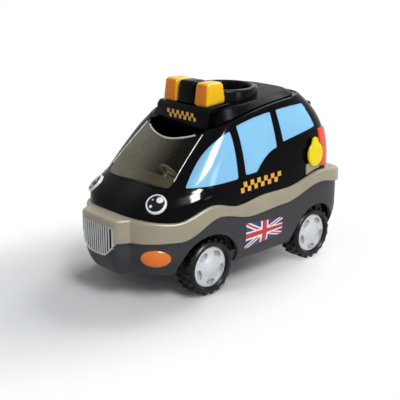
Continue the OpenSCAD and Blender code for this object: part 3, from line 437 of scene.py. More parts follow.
# Materials
def linear(hex_colour):
    c = [int(hex_colour[i:i + 2], 16) / 255 for i in (1, 3, 5)]
    return [v / 12.92 if v <= 0.04045 else ((v + 0.055) / 1.055) ** 2.4 for v in c]


def finish_of(name, colour, rough, mottle=0.1, patch=90, grain=1800, bump=0.04, **sockets):
    """Moulded plastic or metal: slow change of tone, fine grain in the gloss, faint relief."""
    mat = bpy.data.materials.new(name)
    mat.use_nodes = True
    nt = mat.node_tree
    b = nt.nodes["Principled BSDF"]
    co = nt.nodes.new("ShaderNodeTexCoord")
    tone = nt.nodes.new("ShaderNodeTexNoise")
    tone.inputs["Scale"].default_value = patch
    tone.inputs["Detail"].default_value = 4
    nt.links.new(co.outputs["Object"], tone.inputs["Vector"])
    ramp = nt.nodes.new("ShaderNodeValToRGB")
    lin = linear(colour)
    ramp.color_ramp.elements[0].position = 0.3
    ramp.color_ramp.elements[0].color = [v * (1 - mottle) for v in lin] + [1]
    ramp.color_ramp.elements[1].position = 0.7
    ramp.color_ramp.elements[1].color = [min(1, v * (1 + mottle)) for v in lin] + [1]
    nt.links.new(tone.outputs["Fac"], ramp.inputs["Fac"])
    nt.links.new(ramp.outputs["Color"], b.inputs["Base Color"])
    fine = nt.nodes.new("ShaderNodeTexNoise")
    fine.inputs["Scale"].default_value = grain
    fine.inputs["Detail"].default_value = 3
    nt.links.new(co.outputs["Object"], fine.inputs["Vector"])
    spread = nt.nodes.new("ShaderNodeMapRange")
    spread.inputs["To Min"].default_value = rough * 0.85
    spread.inputs["To Max"].default_value = rough * 1.15
    nt.links.new(fine.outputs["Fac"], spread.inputs["Value"])
    nt.links.new(spread.outputs["Result"], b.inputs["Roughness"])
    relief = nt.nodes.new("ShaderNodeBump")
    relief.inputs["Strength"].default_value = bump
    relief.inputs["Distance"].default_value = 0.0002
    nt.links.new(fine.outputs["Fac"], relief.inputs["Height"])
    nt.links.new(relief.outputs["Normal"], b.inputs["Normal"])
    for k, v in sockets.items():
        b.inputs[k.replace("_", " ")].default_value = v
    return mat


def painted(name, rough):
    """Print whose colours are held by the piece's own points."""
    mat = finish_of(name, "#808080", rough)
    nt = mat.node_tree
    att = nt.nodes.new("ShaderNodeAttribute")
    att.attribute_name = "print"
    nt.links.new(att.outputs["Color"], nt.nodes["Principled BSDF"].inputs["Base Color"])
    return mat


gloss_black = finish_of("gloss_black", "#08080a", 0.09, 0.15, bump=0.01, Specular_IOR_Level=0.045)
roof_black = finish_of("roof_black", "#08080a", 0.3, 0.15, bump=0.02, Specular_IOR_Level=0.025)
well_black = finish_of("well_black", "#0a0a0c", 0.2, 0.2, bump=0.03, Specular_IOR_Level=0.07)
belt_beige = finish_of("belt_beige", "#a29a84", 0.36, 0.05, bump=0.02, Specular_IOR_Level=0.3)
skirt_charcoal = finish_of("skirt_charcoal", "#3f3e42", 0.36, 0.08, bump=0.03,
                           Specular_IOR_Level=0.12)
pane_blue = finish_of("pane_blue", "#8ccbf2", 0.16, 0.03, patch=40, bump=0.01,
                      Specular_IOR_Level=0.3)
# Lit and shaded copies of one amber plastic for the roof lamps: painted light and shade
lamp_lit_yellow = finish_of("lamp_lit_yellow", "#fdc50c", 0.24, 0.05, patch=60, bump=0.01,
                        Specular_IOR_Level=0.2)
lamp_shade_amber = finish_of("lamp_shade_amber", "#e68218", 0.26, 0.08, patch=70, bump=0.01,
                       Specular_IOR_Level=0.2)
cap_yellow = finish_of("cap_yellow", "#fbdf0a", 0.3, 0.04, bump=0.02, Specular_IOR_Level=0.15)
indicator_orange = finish_of("indicator_orange", "#f07a1c", 0.22, 0.05, patch=120, bump=0.02)
tail_red = finish_of("tail_red", "#e64a26", 0.26, 0.06, bump=0.02, Specular_IOR_Level=0.15)
bar_silver = finish_of("bar_silver", "#b9bbbd", 0.36, 0.05, bump=0.03, Metallic=0.35)
groove_painted_shade = finish_of("groove_painted_shade", "#141518", 0.55, 0.1, Specular_IOR_Level=0.15)
hub_shade = finish_of("hub_shade", "#a4a7ac", 0.5, 0.08, bump=0.03)
hub_silver = finish_of("hub_silver", "#cfd1d4", 0.34, 0.05, bump=0.03, Metallic=0.3)
tyre_black = finish_of("tyre_black", "#101012", 0.28, 0.2, patch=200, grain=900, bump=0.12,
                       Specular_IOR_Level=0.22)
lens_dark = finish_of("lens_dark", "#14161c", 0.12, 0.2, bump=0.01, Specular_IOR_Level=0.12)
ring_white = finish_of("ring_white", "#eef0f2", 0.25, 0.02, bump=0.01)
glint_blue = finish_of("glint_blue", "#c3d6e6", 0.3, 0.04)
frame_steel = finish_of("frame_steel", "#9a9ea2", 0.35, 0.08, patch=300, grain=2500, bump=0.08,
                        Metallic=1.0)
chassis_black = finish_of("chassis_black", "#2c2c30", 0.5, 0.12, grain=1200, bump=0.1)
gear_cream = finish_of("gear_cream", "#e3dfd2", 0.45, 0.05, bump=0.05)
seat_black = finish_of("seat_black", "#26262a", 0.5, 0.1, bump=0.1)
rim_painted_highlight = finish_of("rim_painted_highlight", "#d9d7cf", 0.15, 0.05, bump=0.01)
dash_beige = finish_of("dash_beige", "#ded6bc", 0.4, 0.05)
# A pale cream for the steering wheel, so that it shows as light arcs through the windscreen
wheel_pale = finish_of("wheel_pale", "#f2ecd8", 0.3, 0.05)
strip_gold = finish_of("strip_gold", "#e9ab32", 0.35, 0.05, bump=0.02)
flag_print = painted("flag_print", 0.35)


def smoked_screen():
    """Thin smoked plastic, clearer before the driver; the hazy taupe on the passenger side is a
    painted sheen.
    """
    mat = finish_of("smoked_screen", "#98937f", 0.05, 0.1, bump=0.004, Specular_IOR_Level=0.3)
    nt = mat.node_tree
    b = nt.nodes["Principled BSDF"]
    clear = nt.nodes.new("ShaderNodeBsdfTransparent")
    clear.inputs["Color"].default_value = (0.66, 0.64, 0.6, 1)
    parts = nt.nodes.new("ShaderNodeSeparateXYZ")
    nt.links.new(nt.nodes["Texture Coordinate"].outputs["Object"], parts.inputs[0])
    # Painted sheen: the taupe share grows towards the car's right, the clear share towards its
    # left
    painted_sheen = nt.nodes.new("ShaderNodeMapRange")
    painted_sheen.interpolation_type = "SMOOTHSTEP"
    for k, v in {"From Min": -0.024, "From Max": 0.02, "To Min": 0.45, "To Max": 0.97}.items():
        painted_sheen.inputs[k].default_value = v
    nt.links.new(parts.outputs["Y"], painted_sheen.inputs["Value"])
    mix = nt.nodes.new("ShaderNodeMixShader")
    nt.links.new(painted_sheen.outputs["Result"], mix.inputs[0])
    nt.links.new(b.outputs[0], mix.inputs[1])
    nt.links.new(clear.outputs[0], mix.inputs[2])
    nt.links.new(mix.outputs[0], nt.nodes["Material Output"].inputs["Surface"])
    return mat


screen_smoke = smoked_screen()


def dress(ob, material, body, nodes=()):
    if material:
        ob.data.materials.clear()
        ob.data.materials.append(material)
    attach(ob, body)
    if nodes:
        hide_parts(*nodes)
    return ob


# Cabin: one skin from the belt to the gutter, rolled over into the roof ledge and back down inside
SKIN_ROWS = 46
CABIN_OUT = [(0, 0)] * SKIN_ROWS + [(0.4, 0.35), (1.0, 0.5), (1.6, 0.3), (2.0, -0.1),
                                    (2.6, -0.2), (9, -0.2), (9, -0.2 - WALL)]
CABIN_ROWS = len(CABIN_OUT) + SKIN_ROWS + 2


def cabin_place(u, v):
    a = 360 * u - 180
    n, steps = len(CABIN_OUT), SKIN_ROWS - 1
    k = np.rint(v * CABIN_ROWS).astype(int) % CABIN_ROWS
    seam = belt_middle(a) + 0.2
    outer = k <= n
    t = np.where(outer, np.clip((k - 1) / steps, 0, 1),
                 0.965 * np.clip((n + SKIN_ROWS - k) / steps, 0, 1))
    p = skin_p(a, t) - np.where(outer, 0, WALL)[:, None] * skin_n(a, t)
    p[:, 2] = np.where((k == 0) | (k == CABIN_ROWS - 1), seam, p[:, 2])
    step, lift = np.array([(0, 0)] + CABIN_OUT + [(0, 0)] * (SKIN_ROWS + 1))[k].T
    over = step > 0
    r = gutter_r(a) - step
    p[:, 0] = np.where(over, ROOF_X + r * cosd(a), p[:, 0])
    p[:, 1] = np.where(over, r * sind(a), p[:, 1])
    p[:, 2] += lift
    return p


def skin_axes(a, t):
    """Axes and place of a piece that lies flat on the skin."""
    n = skin_n(np.float64(a), np.float64(t))
    up = np.array([0, 0, 1.0]) - n * n[2]
    up /= np.linalg.norm(up)
    return np.stack([np.cross(up, n), up, n], 1), skin_p(np.float64(a), np.float64(t))


def disc_tool(a, t, r, low, high):
    axes, at = skin_axes(a, t)
    return turned(prism("tool", ring(0, 0, r, r, 64), "XY", low, high), axes, at)


cabin = loft("cabin", 360, CABIN_ROWS, cabin_place)
for outline in (FRONT_PANE, MIDDLE_PANE, REAR_PANE):
    cut(cabin, prism("tool", outline, "XZ", -60, 60))
cut(cabin, prism("tool", SCREEN, "YZ", 0, 90))
cut(cabin, prism("tool", inset(GATE, -0.5), "YZ", -100, -20))
cut(cabin, moved(prism("tool", ring(0, 0, HINGE_R + 0.5, HINGE_R + 0.5), "XZ", -25, 25), HINGE))
for side, _ in SIDES:
    cut(cabin, disc_tool(LAMP_A * side, LAMP_T, 6.1, -1, 4))
smooth(cabin, 32)
dress(cabin, gloss_black, "taxi_body", ["upper_shell"])


# Belt: a rounded band that carries the shelf behind the tailgate and over the nose
BELT_ROWS, LOW_ROUND, TOP_ROUND = 22, 1.0, 1.5


def belt_place(u, v):
    a = 360 * u - 180
    low, top = belt_low(a), belt_top(a)
    seam = (low + top) / 2
    k = np.rint(v * BELT_ROWS).astype(int) % BELT_ROWS
    out = np.zeros_like(a)
    z = np.zeros_like(a)
    for i in range(9):
        w = i / 8 * 90
        m = k == i
        out[m], z[m] = BELT_PROUD - LOW_ROUND * (1 - sind(w)), (low + LOW_ROUND * (1 - cosd(w)))[m]
        m = k == 9 + i
        out[m], z[m] = BELT_PROUD - TOP_ROUND * (1 - cosd(w)), (top - TOP_ROUND * (1 - sind(w)))[m]
    x, y = outline_p(skirt_r, a, out)
    share = BELT_COVER / (gutter_z(ROOF_X + gutter_r(a) * cosd(a)) - top + BELT_COVER)
    rim = skin_at(a, share, -0.1)
    edge = np.stack(outline_p(cabin_r, a, 0.15), -1)
    foot = np.stack(outline_p(skirt_r, a, 0.15), -1)
    back = ((rim, top), (edge, seam + 0.4), (foot, seam + 0.2), (foot, low))
    for i, (plan, pz) in enumerate(back):
        m = k == 18 + i
        x, y, z = np.where(m, plan[:, 0], x), np.where(m, plan[:, 1], y), np.where(m, pz, z)
    return np.stack([x, y, z], -1)


GRILLE_HALF, GRILLE_SEAT = 14, 75.4
GRILLE = fillet([(-GRILLE_HALF, 44), (-GRILLE_HALF, 32.4)]
                + bow((-7.7, 26.6), (0, 25.6), (7.7, 26.6), 8)
                + [(GRILLE_HALF, 32.4), (GRILLE_HALF, 44)], 2.5)
belt = loft("belt", 720, BELT_ROWS, belt_place)
cut(belt, prism("tool", inset(GRILLE, -0.25), "YZ", GRILLE_SEAT, 90))
smooth(belt, 40)
dress(belt, belt_beige, "taxi_body", ["belt_trim"])


# Skirt with its tucked bottom edge and wheel arches
SKIRT_STEPS = 36
SKIRT_ROWS = 2 * SKIRT_STEPS + 2


def skirt_place(u, v):
    a = 360 * u - 180
    k = np.rint(v * SKIRT_ROWS).astype(int) % SKIRT_ROWS
    outer = k <= SKIRT_STEPS
    t = np.where(outer, k, SKIRT_ROWS - 1 - k) / SKIRT_STEPS
    top = belt_middle(a) - 0.2
    tuck = TUCK * np.maximum(0, 1 - t / 0.5) ** 2
    x, y = outline_p(skirt_r, a, -tuck - np.where(outer, 0, WALL))
    return np.stack([x, y, SKIRT_Z + (top - SKIRT_Z) * t], -1)


skirt = loft("skirt", 720, SKIRT_ROWS, skirt_place)
for x in AXLES.values():
    arch = prism("tool", ring(0, 0, ARCH_R, ARCH_R, 96), "XZ", -60, 60)
    cut(skirt, moved(arch, (x, 0, WHEEL_R)))
cut(skirt, prism("tool", inset(GRILLE, -0.25), "YZ", GRILLE_SEAT, 90))
smooth(skirt, 40)
dress(skirt, skirt_charcoal, "taxi_body", ["lower_skirt"])


# Window panes and the windscreen, cut out of a thin layer of the same skin
PANE_OUT, SCREEN_OUT, PANE_THICK, PANE_GAP = -0.35, -0.3, 1.2, 0.12
PANES = (("front", FRONT_PANE, 24, 90), ("middle", MIDDLE_PANE, 46, 132),
         ("rear", REAR_PANE, 90, 156))


def skin_sheet(name, a0, a1, t0, t1, nu, nv, out, thick):
    def place(u, v):
        return skin_at(a0 + (a1 - a0) * u, t0 + (t1 - t0) * v, out)

    ob = loft(name, nu, nv, place)
    thicken(ob, thick)
    return ob


def shade_inside_faces(ob, axis, sign):
    """Painted shade: black towards the cabin, so that no colour shows through the windscreen's
    notch.
    """
    ob.data.materials.append(well_black)
    for f in ob.data.polygons:
        f.material_index = 1 if sign * f.normal[axis] > 0.3 else 0


for name, outline, a0, a1 in PANES:
    left = skin_sheet("pane_%s_left" % name, a0, a1, 0.06, 0.99, 70, 50, PANE_OUT, PANE_THICK)
    cut(left, prism("tool", inset(outline, PANE_GAP), "XZ", 5, 60), "INTERSECT")
    smooth(left, 35)
    right = other_side(left, "pane_%s_right" % name)
    dress(left, pane_blue, "taxi_body", ["window_%s_left" % name])
    dress(right, pane_blue, "taxi_body", ["window_%s_right" % name])
    shade_inside_faces(left, 1, -1)
    shade_inside_faces(right, 1, 1)

screen = skin_sheet("screen", -48, 48, 0.1, 1.0, 110, 60, SCREEN_OUT, PANE_THICK)
cut(screen, prism("tool", inset(SCREEN, PANE_GAP), "YZ", 5, 90), "INTERSECT")
cut(screen, prism("tool", ring(SIGN_X, 0, NOTCH_DEEP, NOTCH_HALF, 96), "XY", 50, 130))
smooth(screen, 35)
dress(screen, screen_smoke, "taxi_body", ["windscreen"])

# Pale rim of the notch and of the windscreen's side edges: a painted highlight along the clear
# plastic's edges
w = np.radians(np.linspace(-52, 52, 60))
rim_a, rim_t = skin_find(SIGN_X + NOTCH_DEEP * np.cos(w), NOTCH_HALF * np.sin(w), [0, 1], 0.0, 0.8)
rims = [tube("screen_rim", skin_at(rim_a, rim_t, SCREEN_OUT), 0.55)]
side_z = np.linspace(66.5, 88.5, 30)
side_y = SCREEN_LOW - (SCREEN_LOW - SCREEN_TOP) * (side_z - HOOD_Z) / (GUTTER_Z - HOOD_Z)
for side, _ in SIDES:
    rim_a, rim_t = skin_find(side * side_y, side_z, [1, 2], 28.0 * side, 0.7)
    rims.append(tube("screen_edge", skin_at(rim_a, rim_t, -0.1), 0.32))
rim = join(rims)
smooth(rim, 60)
dress(rim, rim_painted_highlight, "taxi_body")


# Roof cover, figure well and sign
ROOF_FRONT, ROOF_REAR, ROOF_HALF, ROOF_HOLE_R = 29, 41.4, 30, 20.7
ROOF_FLAT = 8
ROOF_EDGE = [(0, 0), (0.1, 0.15), (3.3, 0.83), (3.7, 0.92), (4.1, 0.97), (4.6, 1.0), (5.4, 1.0)]
ROOF_ROWS = len(ROOF_EDGE) + ROOF_FLAT
WELL = [(0, 68), (16.2, 68), (17, 68.8), (17, 107.6), (17.3, 108.5), (18, 109), (19.4, 109),
        (20.2, 108.6), (20.6, 107.8), (20.6, 100.5), (19, 100.5), (19, 43.4), (15, 43.4),
        (15, 66), (0, 66)]


def panel_r(a, cut_in):
    half = ROOF_HALF - cut_in
    return np.where(cosd(a) >= 0, oval(a, ROOF_FRONT - cut_in, half, 4.5),
                    oval(a, ROOF_REAR - cut_in, half, 3.7))


def roof_place(u, v):
    a = 360 * u - 180
    k = np.rint(v * ROOF_ROWS).astype(int)
    foot = gutter_z(ROOF_X + gutter_r(a) * cosd(a)) + 0.1
    edge = panel_r(a, ROOF_EDGE[-1][0])
    p = np.zeros((len(a), 3))
    for i in range(ROOF_ROWS + 1):
        m = k == i
        if i < len(ROOF_EDGE):
            r = panel_r(a, ROOF_EDGE[i][0])
        else:
            r = edge + (ROOF_HOLE_R - edge) * min(1, (i - len(ROOF_EDGE) + 1) / ROOF_FLAT)
        x = ROOF_X + r * cosd(a)
        z = roof_z(x)
        if i < len(ROOF_EDGE):
            z = foot + (z - foot) * ROOF_EDGE[i][1]
        if i == ROOF_ROWS:
            z = z - 2
        p[m] = np.stack([x, r * sind(a), z], -1)[m]
    return p


roof = loft("roof_cover", 240, ROOF_ROWS, roof_place)
thicken(roof, 1.6)
smooth(roof, 30)
dress(roof, roof_black, "taxi_body", ["roof_panel"])

well = lathe("figure_well", WELL, 128)
moved(well, (ROOF_X, 0, 0))
smooth(well, 50)
dress(well, well_black, "taxi_body", ["passenger_well"])


def deck_z(x):
    """Height of the sign's sloping deck."""
    rear = roof_z(DECK_REAR)
    return rear + 1.3 + (ROOF_FRONT_Z - rear) * (x - DECK_REAR) / SIGN_DEEP


SIGN_HALF, CHEEK_Y, CHEEK_HALF = 22, 21.4, 0.5
SIGN_IN = SIGN_X - 2.4
SIGN = [(SIGN_X, 88.7), (SIGN_X, 99.1), (DECK_FRONT, deck_z(DECK_FRONT)),
        (DECK_REAR, deck_z(DECK_REAR)), (DECK_REAR, deck_z(DECK_REAR) - 1.2),
        (SIGN_X - SIGN_LEDGE, 100.1), (SIGN_IN, 97.1), (SIGN_IN, 88.7)]
CHEEK = [(SIGN_IN, 88.9), (SIGN_IN, 97.2), (SIGN_X - SIGN_LEDGE, 100.2), (9.6, 100.8),
         (9.6, 98.6), (12.7, 91), (12.8, 89.2)]
collar = prism("collar_tool", ring(ROOF_X, 0, 20.8, 20.8, 96), "XY", 60, 160)
sign = prism("sign", SIGN, "XZ", -SIGN_HALF, SIGN_HALF)
bevel(sign, 0.5)
cut(sign, collar, keep=True)
cheeks = [prism("cheek", CHEEK, "XZ", side * CHEEK_Y - CHEEK_HALF, side * CHEEK_Y + CHEEK_HALF)
          for side, _ in SIDES]
sign = join([sign] + cheeks)
smooth(sign, 35)
dress(sign, gloss_black, "taxi_body", ["sign_box"])


BLOCK_TALL, BLOCK_DRAFT = 13.36, 1.5


def deck_block(name, y, width):
    """Tapered block on the sign's deck: a cube drawn in at the top, its edges rounded."""
    deselect()
    bpy.ops.mesh.primitive_cube_add(size=1)
    ob = bpy.context.object
    ob.name = ob.data.name = name
    co = points_of(ob)
    upper = co[:, 2] > 0
    draft = np.where(upper, BLOCK_DRAFT, 0)
    x = np.where(co[:, 0] > 0, DECK_FRONT - draft, DECK_REAR + draft)
    z = np.where(upper, deck_z(DECK_FRONT) + BLOCK_TALL, deck_z(x) - 0.2)
    y_half = width / 2 - draft / 2
    set_points(ob, np.stack([x, y + np.sign(co[:, 1]) * y_half, z], -1) * MM)
    bevel(ob, 2.2, 5, 20)
    cut(ob, collar, keep=True)
    smooth(ob, 40)
    return ob


for side, name in SIDES:
    lamp = deck_block("roof_lamp_%s_shell" % name, side * 13.4, 12)
    dress(lamp, lamp_lit_yellow, "taxi_body", ["roof_lamp_%s" % name])
    # Painted light and shade: the faces towards the front take the deeper amber, the rest a bright
    # lit yellow
    lamp.data.materials.append(lamp_shade_amber)
    for f in lamp.data.polygons:
        f.material_index = 1 if f.normal.x > 0.75 else 0
bridge = deck_block("sign_block", 0, 14.4)
dress(bridge, gloss_black, "taxi_body", ["sign_bridge"])
bpy.data.objects.remove(collar)


def chequer(name, columns, rows, place, thick):
    """Every second square of a grid, laid on a surface as raised print."""
    ob = loft(name, columns * 3, rows * 3, place)
    pick(ob)
    bpy.ops.object.mode_set(mode="EDIT")
    bpy.ops.mesh.select_mode(type="FACE")
    bpy.ops.mesh.select_all(action="DESELECT")
    bpy.ops.object.mode_set(mode="OBJECT")
    uv = ob.data.uv_layers[0].data
    for f in ob.data.polygons:
        cu = np.mean([uv[i].uv[0] for i in f.loop_indices])
        cv = np.mean([uv[i].uv[1] for i in f.loop_indices])
        f.select = (int(cu * columns) + int(cv * rows)) % 2 == 1
    bpy.ops.object.mode_set(mode="EDIT")
    bpy.ops.mesh.delete(type="FACE")
    bpy.ops.object.mode_set(mode="OBJECT")
    thicken(ob, thick)
    return ob


def sign_place(u, v):
    return np.stack([np.full_like(u, SIGN_X + 0.12), 12.5 - 25 * u, 93 + 4.6 * v], -1)


def door_place(u, v):
    a, t = skin_find(14 - 33 * u, 56.6 + 5.6 * v + 1.5 * u, [0, 2], 85.0, 0.15)
    return skin_at(a, t, 0.15)


sign_strip = chequer("sign_strip", 12, 2, sign_place, 0.25)
dress(sign_strip, strip_gold, "taxi_body")
door_left = chequer("door_strip_left", 12, 2, door_place, 0.3)
door_right = other_side(door_left, "door_strip_right")
for ob in (door_left, door_right):
    dress(ob, strip_gold, "taxi_body")


# Grille: bars between grooves in painted shade, with the shield outline
def grille_front(y):
    x, _ = outline_p(skirt_r, np.degrees(np.arcsin(y / NOSE_L)), BELT_PROUD)
    return x


BARS, RAIL_R = 14, 0.5
PITCH = 2 * GRILLE_HALF / BARS
COMB_BACK, COMB_HALF = 75.6, 15.0
HALF_BAR = [(1.3, PITCH / 2), (1.3, 0.62), (0.25, 0.6), (0, 0.35)]
comb = [(COMB_BACK, -COMB_HALF)]
for i in range(BARS):
    y = (i - (BARS - 1) / 2) * PITCH
    front = float(grille_front(np.float64(y)))
    comb += [(front - deep, y - half) for deep, half in HALF_BAR]
    comb += [(front - deep, y + half) for deep, half in reversed(HALF_BAR)]
comb += [(COMB_BACK, COMB_HALF)]
grille = prism("grille_bars", comb, "XY", 24, 46)
cut(grille, prism("tool", GRILLE, "YZ", 70, 90), "INTERSECT")
dress(grille, bar_silver, "taxi_body", ["grille"])
grille.data.materials.append(groove_painted_shade)
edge = inset(GRILLE, RAIL_R)
edge = np.concatenate([edge, edge[:1]])
rail_path = np.stack([grille_front(edge[:, 0]) - RAIL_R, edge[:, 0], edge[:, 1]], -1)
rail = tube("grille_rail", rail_path, RAIL_R)
smooth(rail, 60)
dress(rail, bar_silver, "taxi_body")
# Painted shade: the walls and floors of the grooves between the bars take the near-black finish
for f in grille.data.polygons:
    c = f.center / MM
    depth = float(grille_front(np.float64(c.y))) - c.x
    f.material_index = 1 if 0.45 < depth < 1.6 and abs(f.normal.z) < 0.5 else 0


# Headlamps: white ring, dark lens and glints in it
LENS_R, LENS_Z, LENS_RISE = 4.9, 0.45, 0.8
LAMP_RING = [(0, -0.9), (5.9, -0.9), (5.9, 0.1), (5.75, 0.5), (5.5, 0.7), (5.15, 0.75),
             (4.95, 0.5), (0, 0.5)]
LENS = [(0, 0.3), (LENS_R, 0.3)] + [(LENS_R * math.cos(q), LENS_Z + LENS_RISE * math.sin(q))
                                    for q in np.linspace(0, np.pi / 2, 10)]
GLINTS = ((1.95, 2.1, 1.95, ring_white), (-2.4, -2.2, 0.9, ring_white),
          (-2.1, 1.9, 0.55, glint_blue))


def on_lens(ob):
    """Lifts a flat piece onto the lens dome."""
    co = points_of(ob)
    share = (co[:, 0] ** 2 + co[:, 1] ** 2) / (LENS_R * MM) ** 2
    co[:, 2] += (LENS_Z + LENS_RISE * np.sqrt(np.maximum(0, 1 - share))) * MM
    set_points(ob, co)
    return ob


for side, name in SIDES:
    axes, at = skin_axes(LAMP_A * side, LAMP_T)
    lamp_ring = turned(lathe("headlamp_%s_ring" % name, LAMP_RING, 64), axes, at)
    smooth(lamp_ring, 40)
    dress(lamp_ring, ring_white, "taxi_body", ["headlamp_%s" % name])
    lens = turned(lathe("headlamp_%s_lens" % name, LENS, 64), axes, at)
    smooth(lens, 50)
    dress(lens, lens_dark, "taxi_body")
    for k, (gx, gy, gr, mat) in enumerate(GLINTS):
        dot = [(0, -0.25), (gr, -0.25), (gr, 0.02), (gr * 0.7, 0.09), (0, 0.12)]
        glint = lathe("headlamp_%s_glint_%d" % (name, k), dot, 32)
        turned(on_lens(moved(glint, (gx * side, gy, 0))), axes, at)
        smooth(glint, 60)
        dress(glint, mat, "taxi_body")


# Indicators: low domes on the corners of the skirt
INDICATOR_A, INDICATOR_Z, INDICATOR_RUN, INDICATOR_RISE = 25.0, 26.2, 8.7, 5.2


def indicator_place(u, v):
    p0 = np.array(outline_p(skirt_r, np.float64(INDICATOR_A), 0))
    w = 2 * np.pi * u
    r = np.where(v < 0.5, 2 * v, 2 - 2 * v)
    run, rise = INDICATOR_RUN * r * np.cos(w), INDICATOR_RISE * r * np.sin(w)
    a = np.full_like(u, INDICATOR_A)
    for _ in range(20):
        x, y = outline_p(skirt_r, a, 0)
        step = np.hypot(x - p0[0], y - p0[1]) * np.sign(a - INDICATOR_A)
        a = a + np.clip((run - step) / 1.2, -3, 3)
    z = INDICATOR_Z + rise
    dome = np.where(v < 0.5, 0.35 + 1.2 * np.sqrt(np.maximum(0, 1 - r ** 2.4)), -0.6)
    x, y = outline_p(skirt_r, a, dome - skirt_tuck(a, z))
    return np.stack([x, y, z], -1)


indicator = loft("indicator_left_dome", 64, 32, indicator_place)
smooth(indicator, 50)
indicator_other = other_side(indicator, "indicator_right_dome")
dress(indicator, indicator_orange, "taxi_body", ["indicator_left"])
dress(indicator_other, indicator_orange, "taxi_body", ["indicator_right"])

# Tail lamps and the plate behind the fuel cap
tail = skin_sheet("tail_left_lens", 143, 152, 0.09, 0.58, 16, 40, 0.9, 1.1)
bevel(tail, 0.4)
smooth(tail, 50)
tail_other = other_side(tail, "tail_right_lens")
dress(tail, tail_red, "taxi_body", ["tail_lamp_left"])
dress(tail_other, tail_red, "taxi_body", ["tail_lamp_right"])
plate = skin_sheet("cap_plate", 133.4, 143, 0.07, 0.2, 16, 12, 0.6, 0.8)
bevel(plate, 0.25)
smooth(plate, 50)
dress(plate, belt_beige, "taxi_body", ["fuel_plate"])

# Fuel cap: a pear outline with rounded edges
CAP_A, CAP_T, CAP_R, HEAD_Y, HEAD_R = 138, 0.29, 7.2, 7.8, 2.6
w = np.linspace(0, 2 * np.pi, 96, endpoint=False)
ahead = HEAD_Y * np.sin(w)
root = HEAD_R ** 2 - (HEAD_Y ** 2 - ahead ** 2)
reach = np.where((root > 0) & (ahead > 0), ahead + np.sqrt(np.maximum(root, 0)), 0)
pear_r = np.maximum(CAP_R, reach)
for _ in range(3):
    pear_r = np.maximum(pear_r, (np.roll(pear_r, 1) + pear_r + np.roll(pear_r, -1)) / 3)
pear = np.stack([pear_r * np.cos(w), pear_r * np.sin(w)], 1)
cap = prism("fuel_cap_shell", pear, "XY", 1.0, 3.0)
bevel(cap, 0.7, 4, 60)
turned(cap, *skin_axes(CAP_A, CAP_T))
smooth(cap, 45)
dress(cap, cap_yellow, "cap", ["fuel_cap"])

# Tailgate on its hinge barrel, with window and grip
gate = skin_sheet("gate_panel", 132, 228, 0.02, 0.95, 96, 50, 0, WALL)
cut(gate, prism("tool", GATE, "YZ", -100, -20), "INTERSECT")
cut(gate, prism("tool", GATE_PANE, "YZ", -100, -20))
smooth(gate, 32)
dress(gate, gloss_black, "gate", ["tailgate"])
barrel = moved(prism("gate_barrel", ring(0, 0, HINGE_R, HINGE_R), "XZ", -19.75, 19.75), HINGE)
bevel(barrel, 0.3)
smooth(barrel, 40)
dress(barrel, gloss_black, "gate")
grip = moved(prism("gate_grip", ring(0, 0, 2, 2, 32), "XZ", -8, 8), skin_p(180.0, 0.26))
bevel(grip, 0.9, 4)
smooth(grip, 40)
dress(grip, gloss_black, "gate")
gate_pane = skin_sheet("gate_pane", 132, 228, 0.02, 0.95, 96, 50, PANE_OUT, PANE_THICK)
cut(gate_pane, prism("tool", inset(GATE_PANE, PANE_GAP), "YZ", -100, -20), "INTERSECT")
smooth(gate_pane, 35)
dress(gate_pane, pane_blue, "gate", ["tailgate_window"])
shade_inside_faces(gate_pane, 0, 1)


# Wheels: tyre with rows of lugs, hub with five recesses
TYRE_SIDE = [(HUB_R, -5.2), (12.9, -6.8), (14.0, -7.0), (14.9, -6.5), (15.5, -5.4), (15.7, -4.4)]
TYRE = TYRE_SIDE + [(15.75, 0)] + [(r, -y) for r, y in reversed(TYRE_SIDE)] + TYRE_SIDE[:1]
LUGS, LUG_LOW, LUG_TALL, LUG_LONG = 20, 15.0, 1.45, 2.2
LUG_ROWS = ((-4.3, 0.75, 3.0), (0, 0.0, 2.2), (4.3, 0.25, 3.0))
HUB = [(0, -5), (HUB_R, -5), (HUB_R, 4.6), (11.6, 5.2), (10.9, 5.5), (9.5, 5.5), (6.6, 5.6),
       (5.6, 6.0), (4.2, 6.55), (2.2, 6.9), (0, 7.0)]
RECESSES, RECESS_OUT, RECESS_Z = 5, 8.6, 4.1


def make_tyre():
    obs = [lathe("tyre", TYRE, 120)]
    for row, start, wide in LUG_ROWS:
        deselect()
        bpy.ops.mesh.primitive_cube_add(size=1)
        lug = bpy.context.object
        co = points_of(lug)
        co[:, 0] = LUG_LOW + (co[:, 0] + 0.5) * LUG_TALL
        co[:, 1] *= LUG_LONG
        co[:, 2] = co[:, 2] * wide + row
        set_points(lug, co * MM)
        bevel(lug, 0.28, 2)
        for i in range(LUGS):
            q = 2 * np.pi * (i + start) / LUGS
            obs.append(turned(copied(lug, "lug"), turn_z(q), (0, 0, 0)))
        bpy.data.objects.remove(lug)
    tyre = join(obs)
    smooth(tyre, 40)
    return tyre


def make_hub():
    hub = lathe("hub", HUB, 120)
    for i in range(RECESSES):
        tool = prism("tool", ring(0, 0, 1.75, 3.1, 32), "XY", RECESS_Z, 9)
        bevel(tool, 0.6, 3)
        q = 2 * np.pi * (i + 0.25) / RECESSES
        cut(hub, turned(moved(tool, (RECESS_OUT, 0, 0)), turn_z(q), (0, 0, 0)))
    smooth(hub, 30)
    hub.data.materials.append(hub_silver)
    hub.data.materials.append(hub_shade)
    # Painted shade: the floors and walls of the five recesses take a darker grey
    for f in hub.data.polygons:
        x, y, z = f.center / MM
        f.material_index = 1 if 3 < z < 5.2 and 4 < math.hypot(x, y) < 11.4 else 0
    return hub


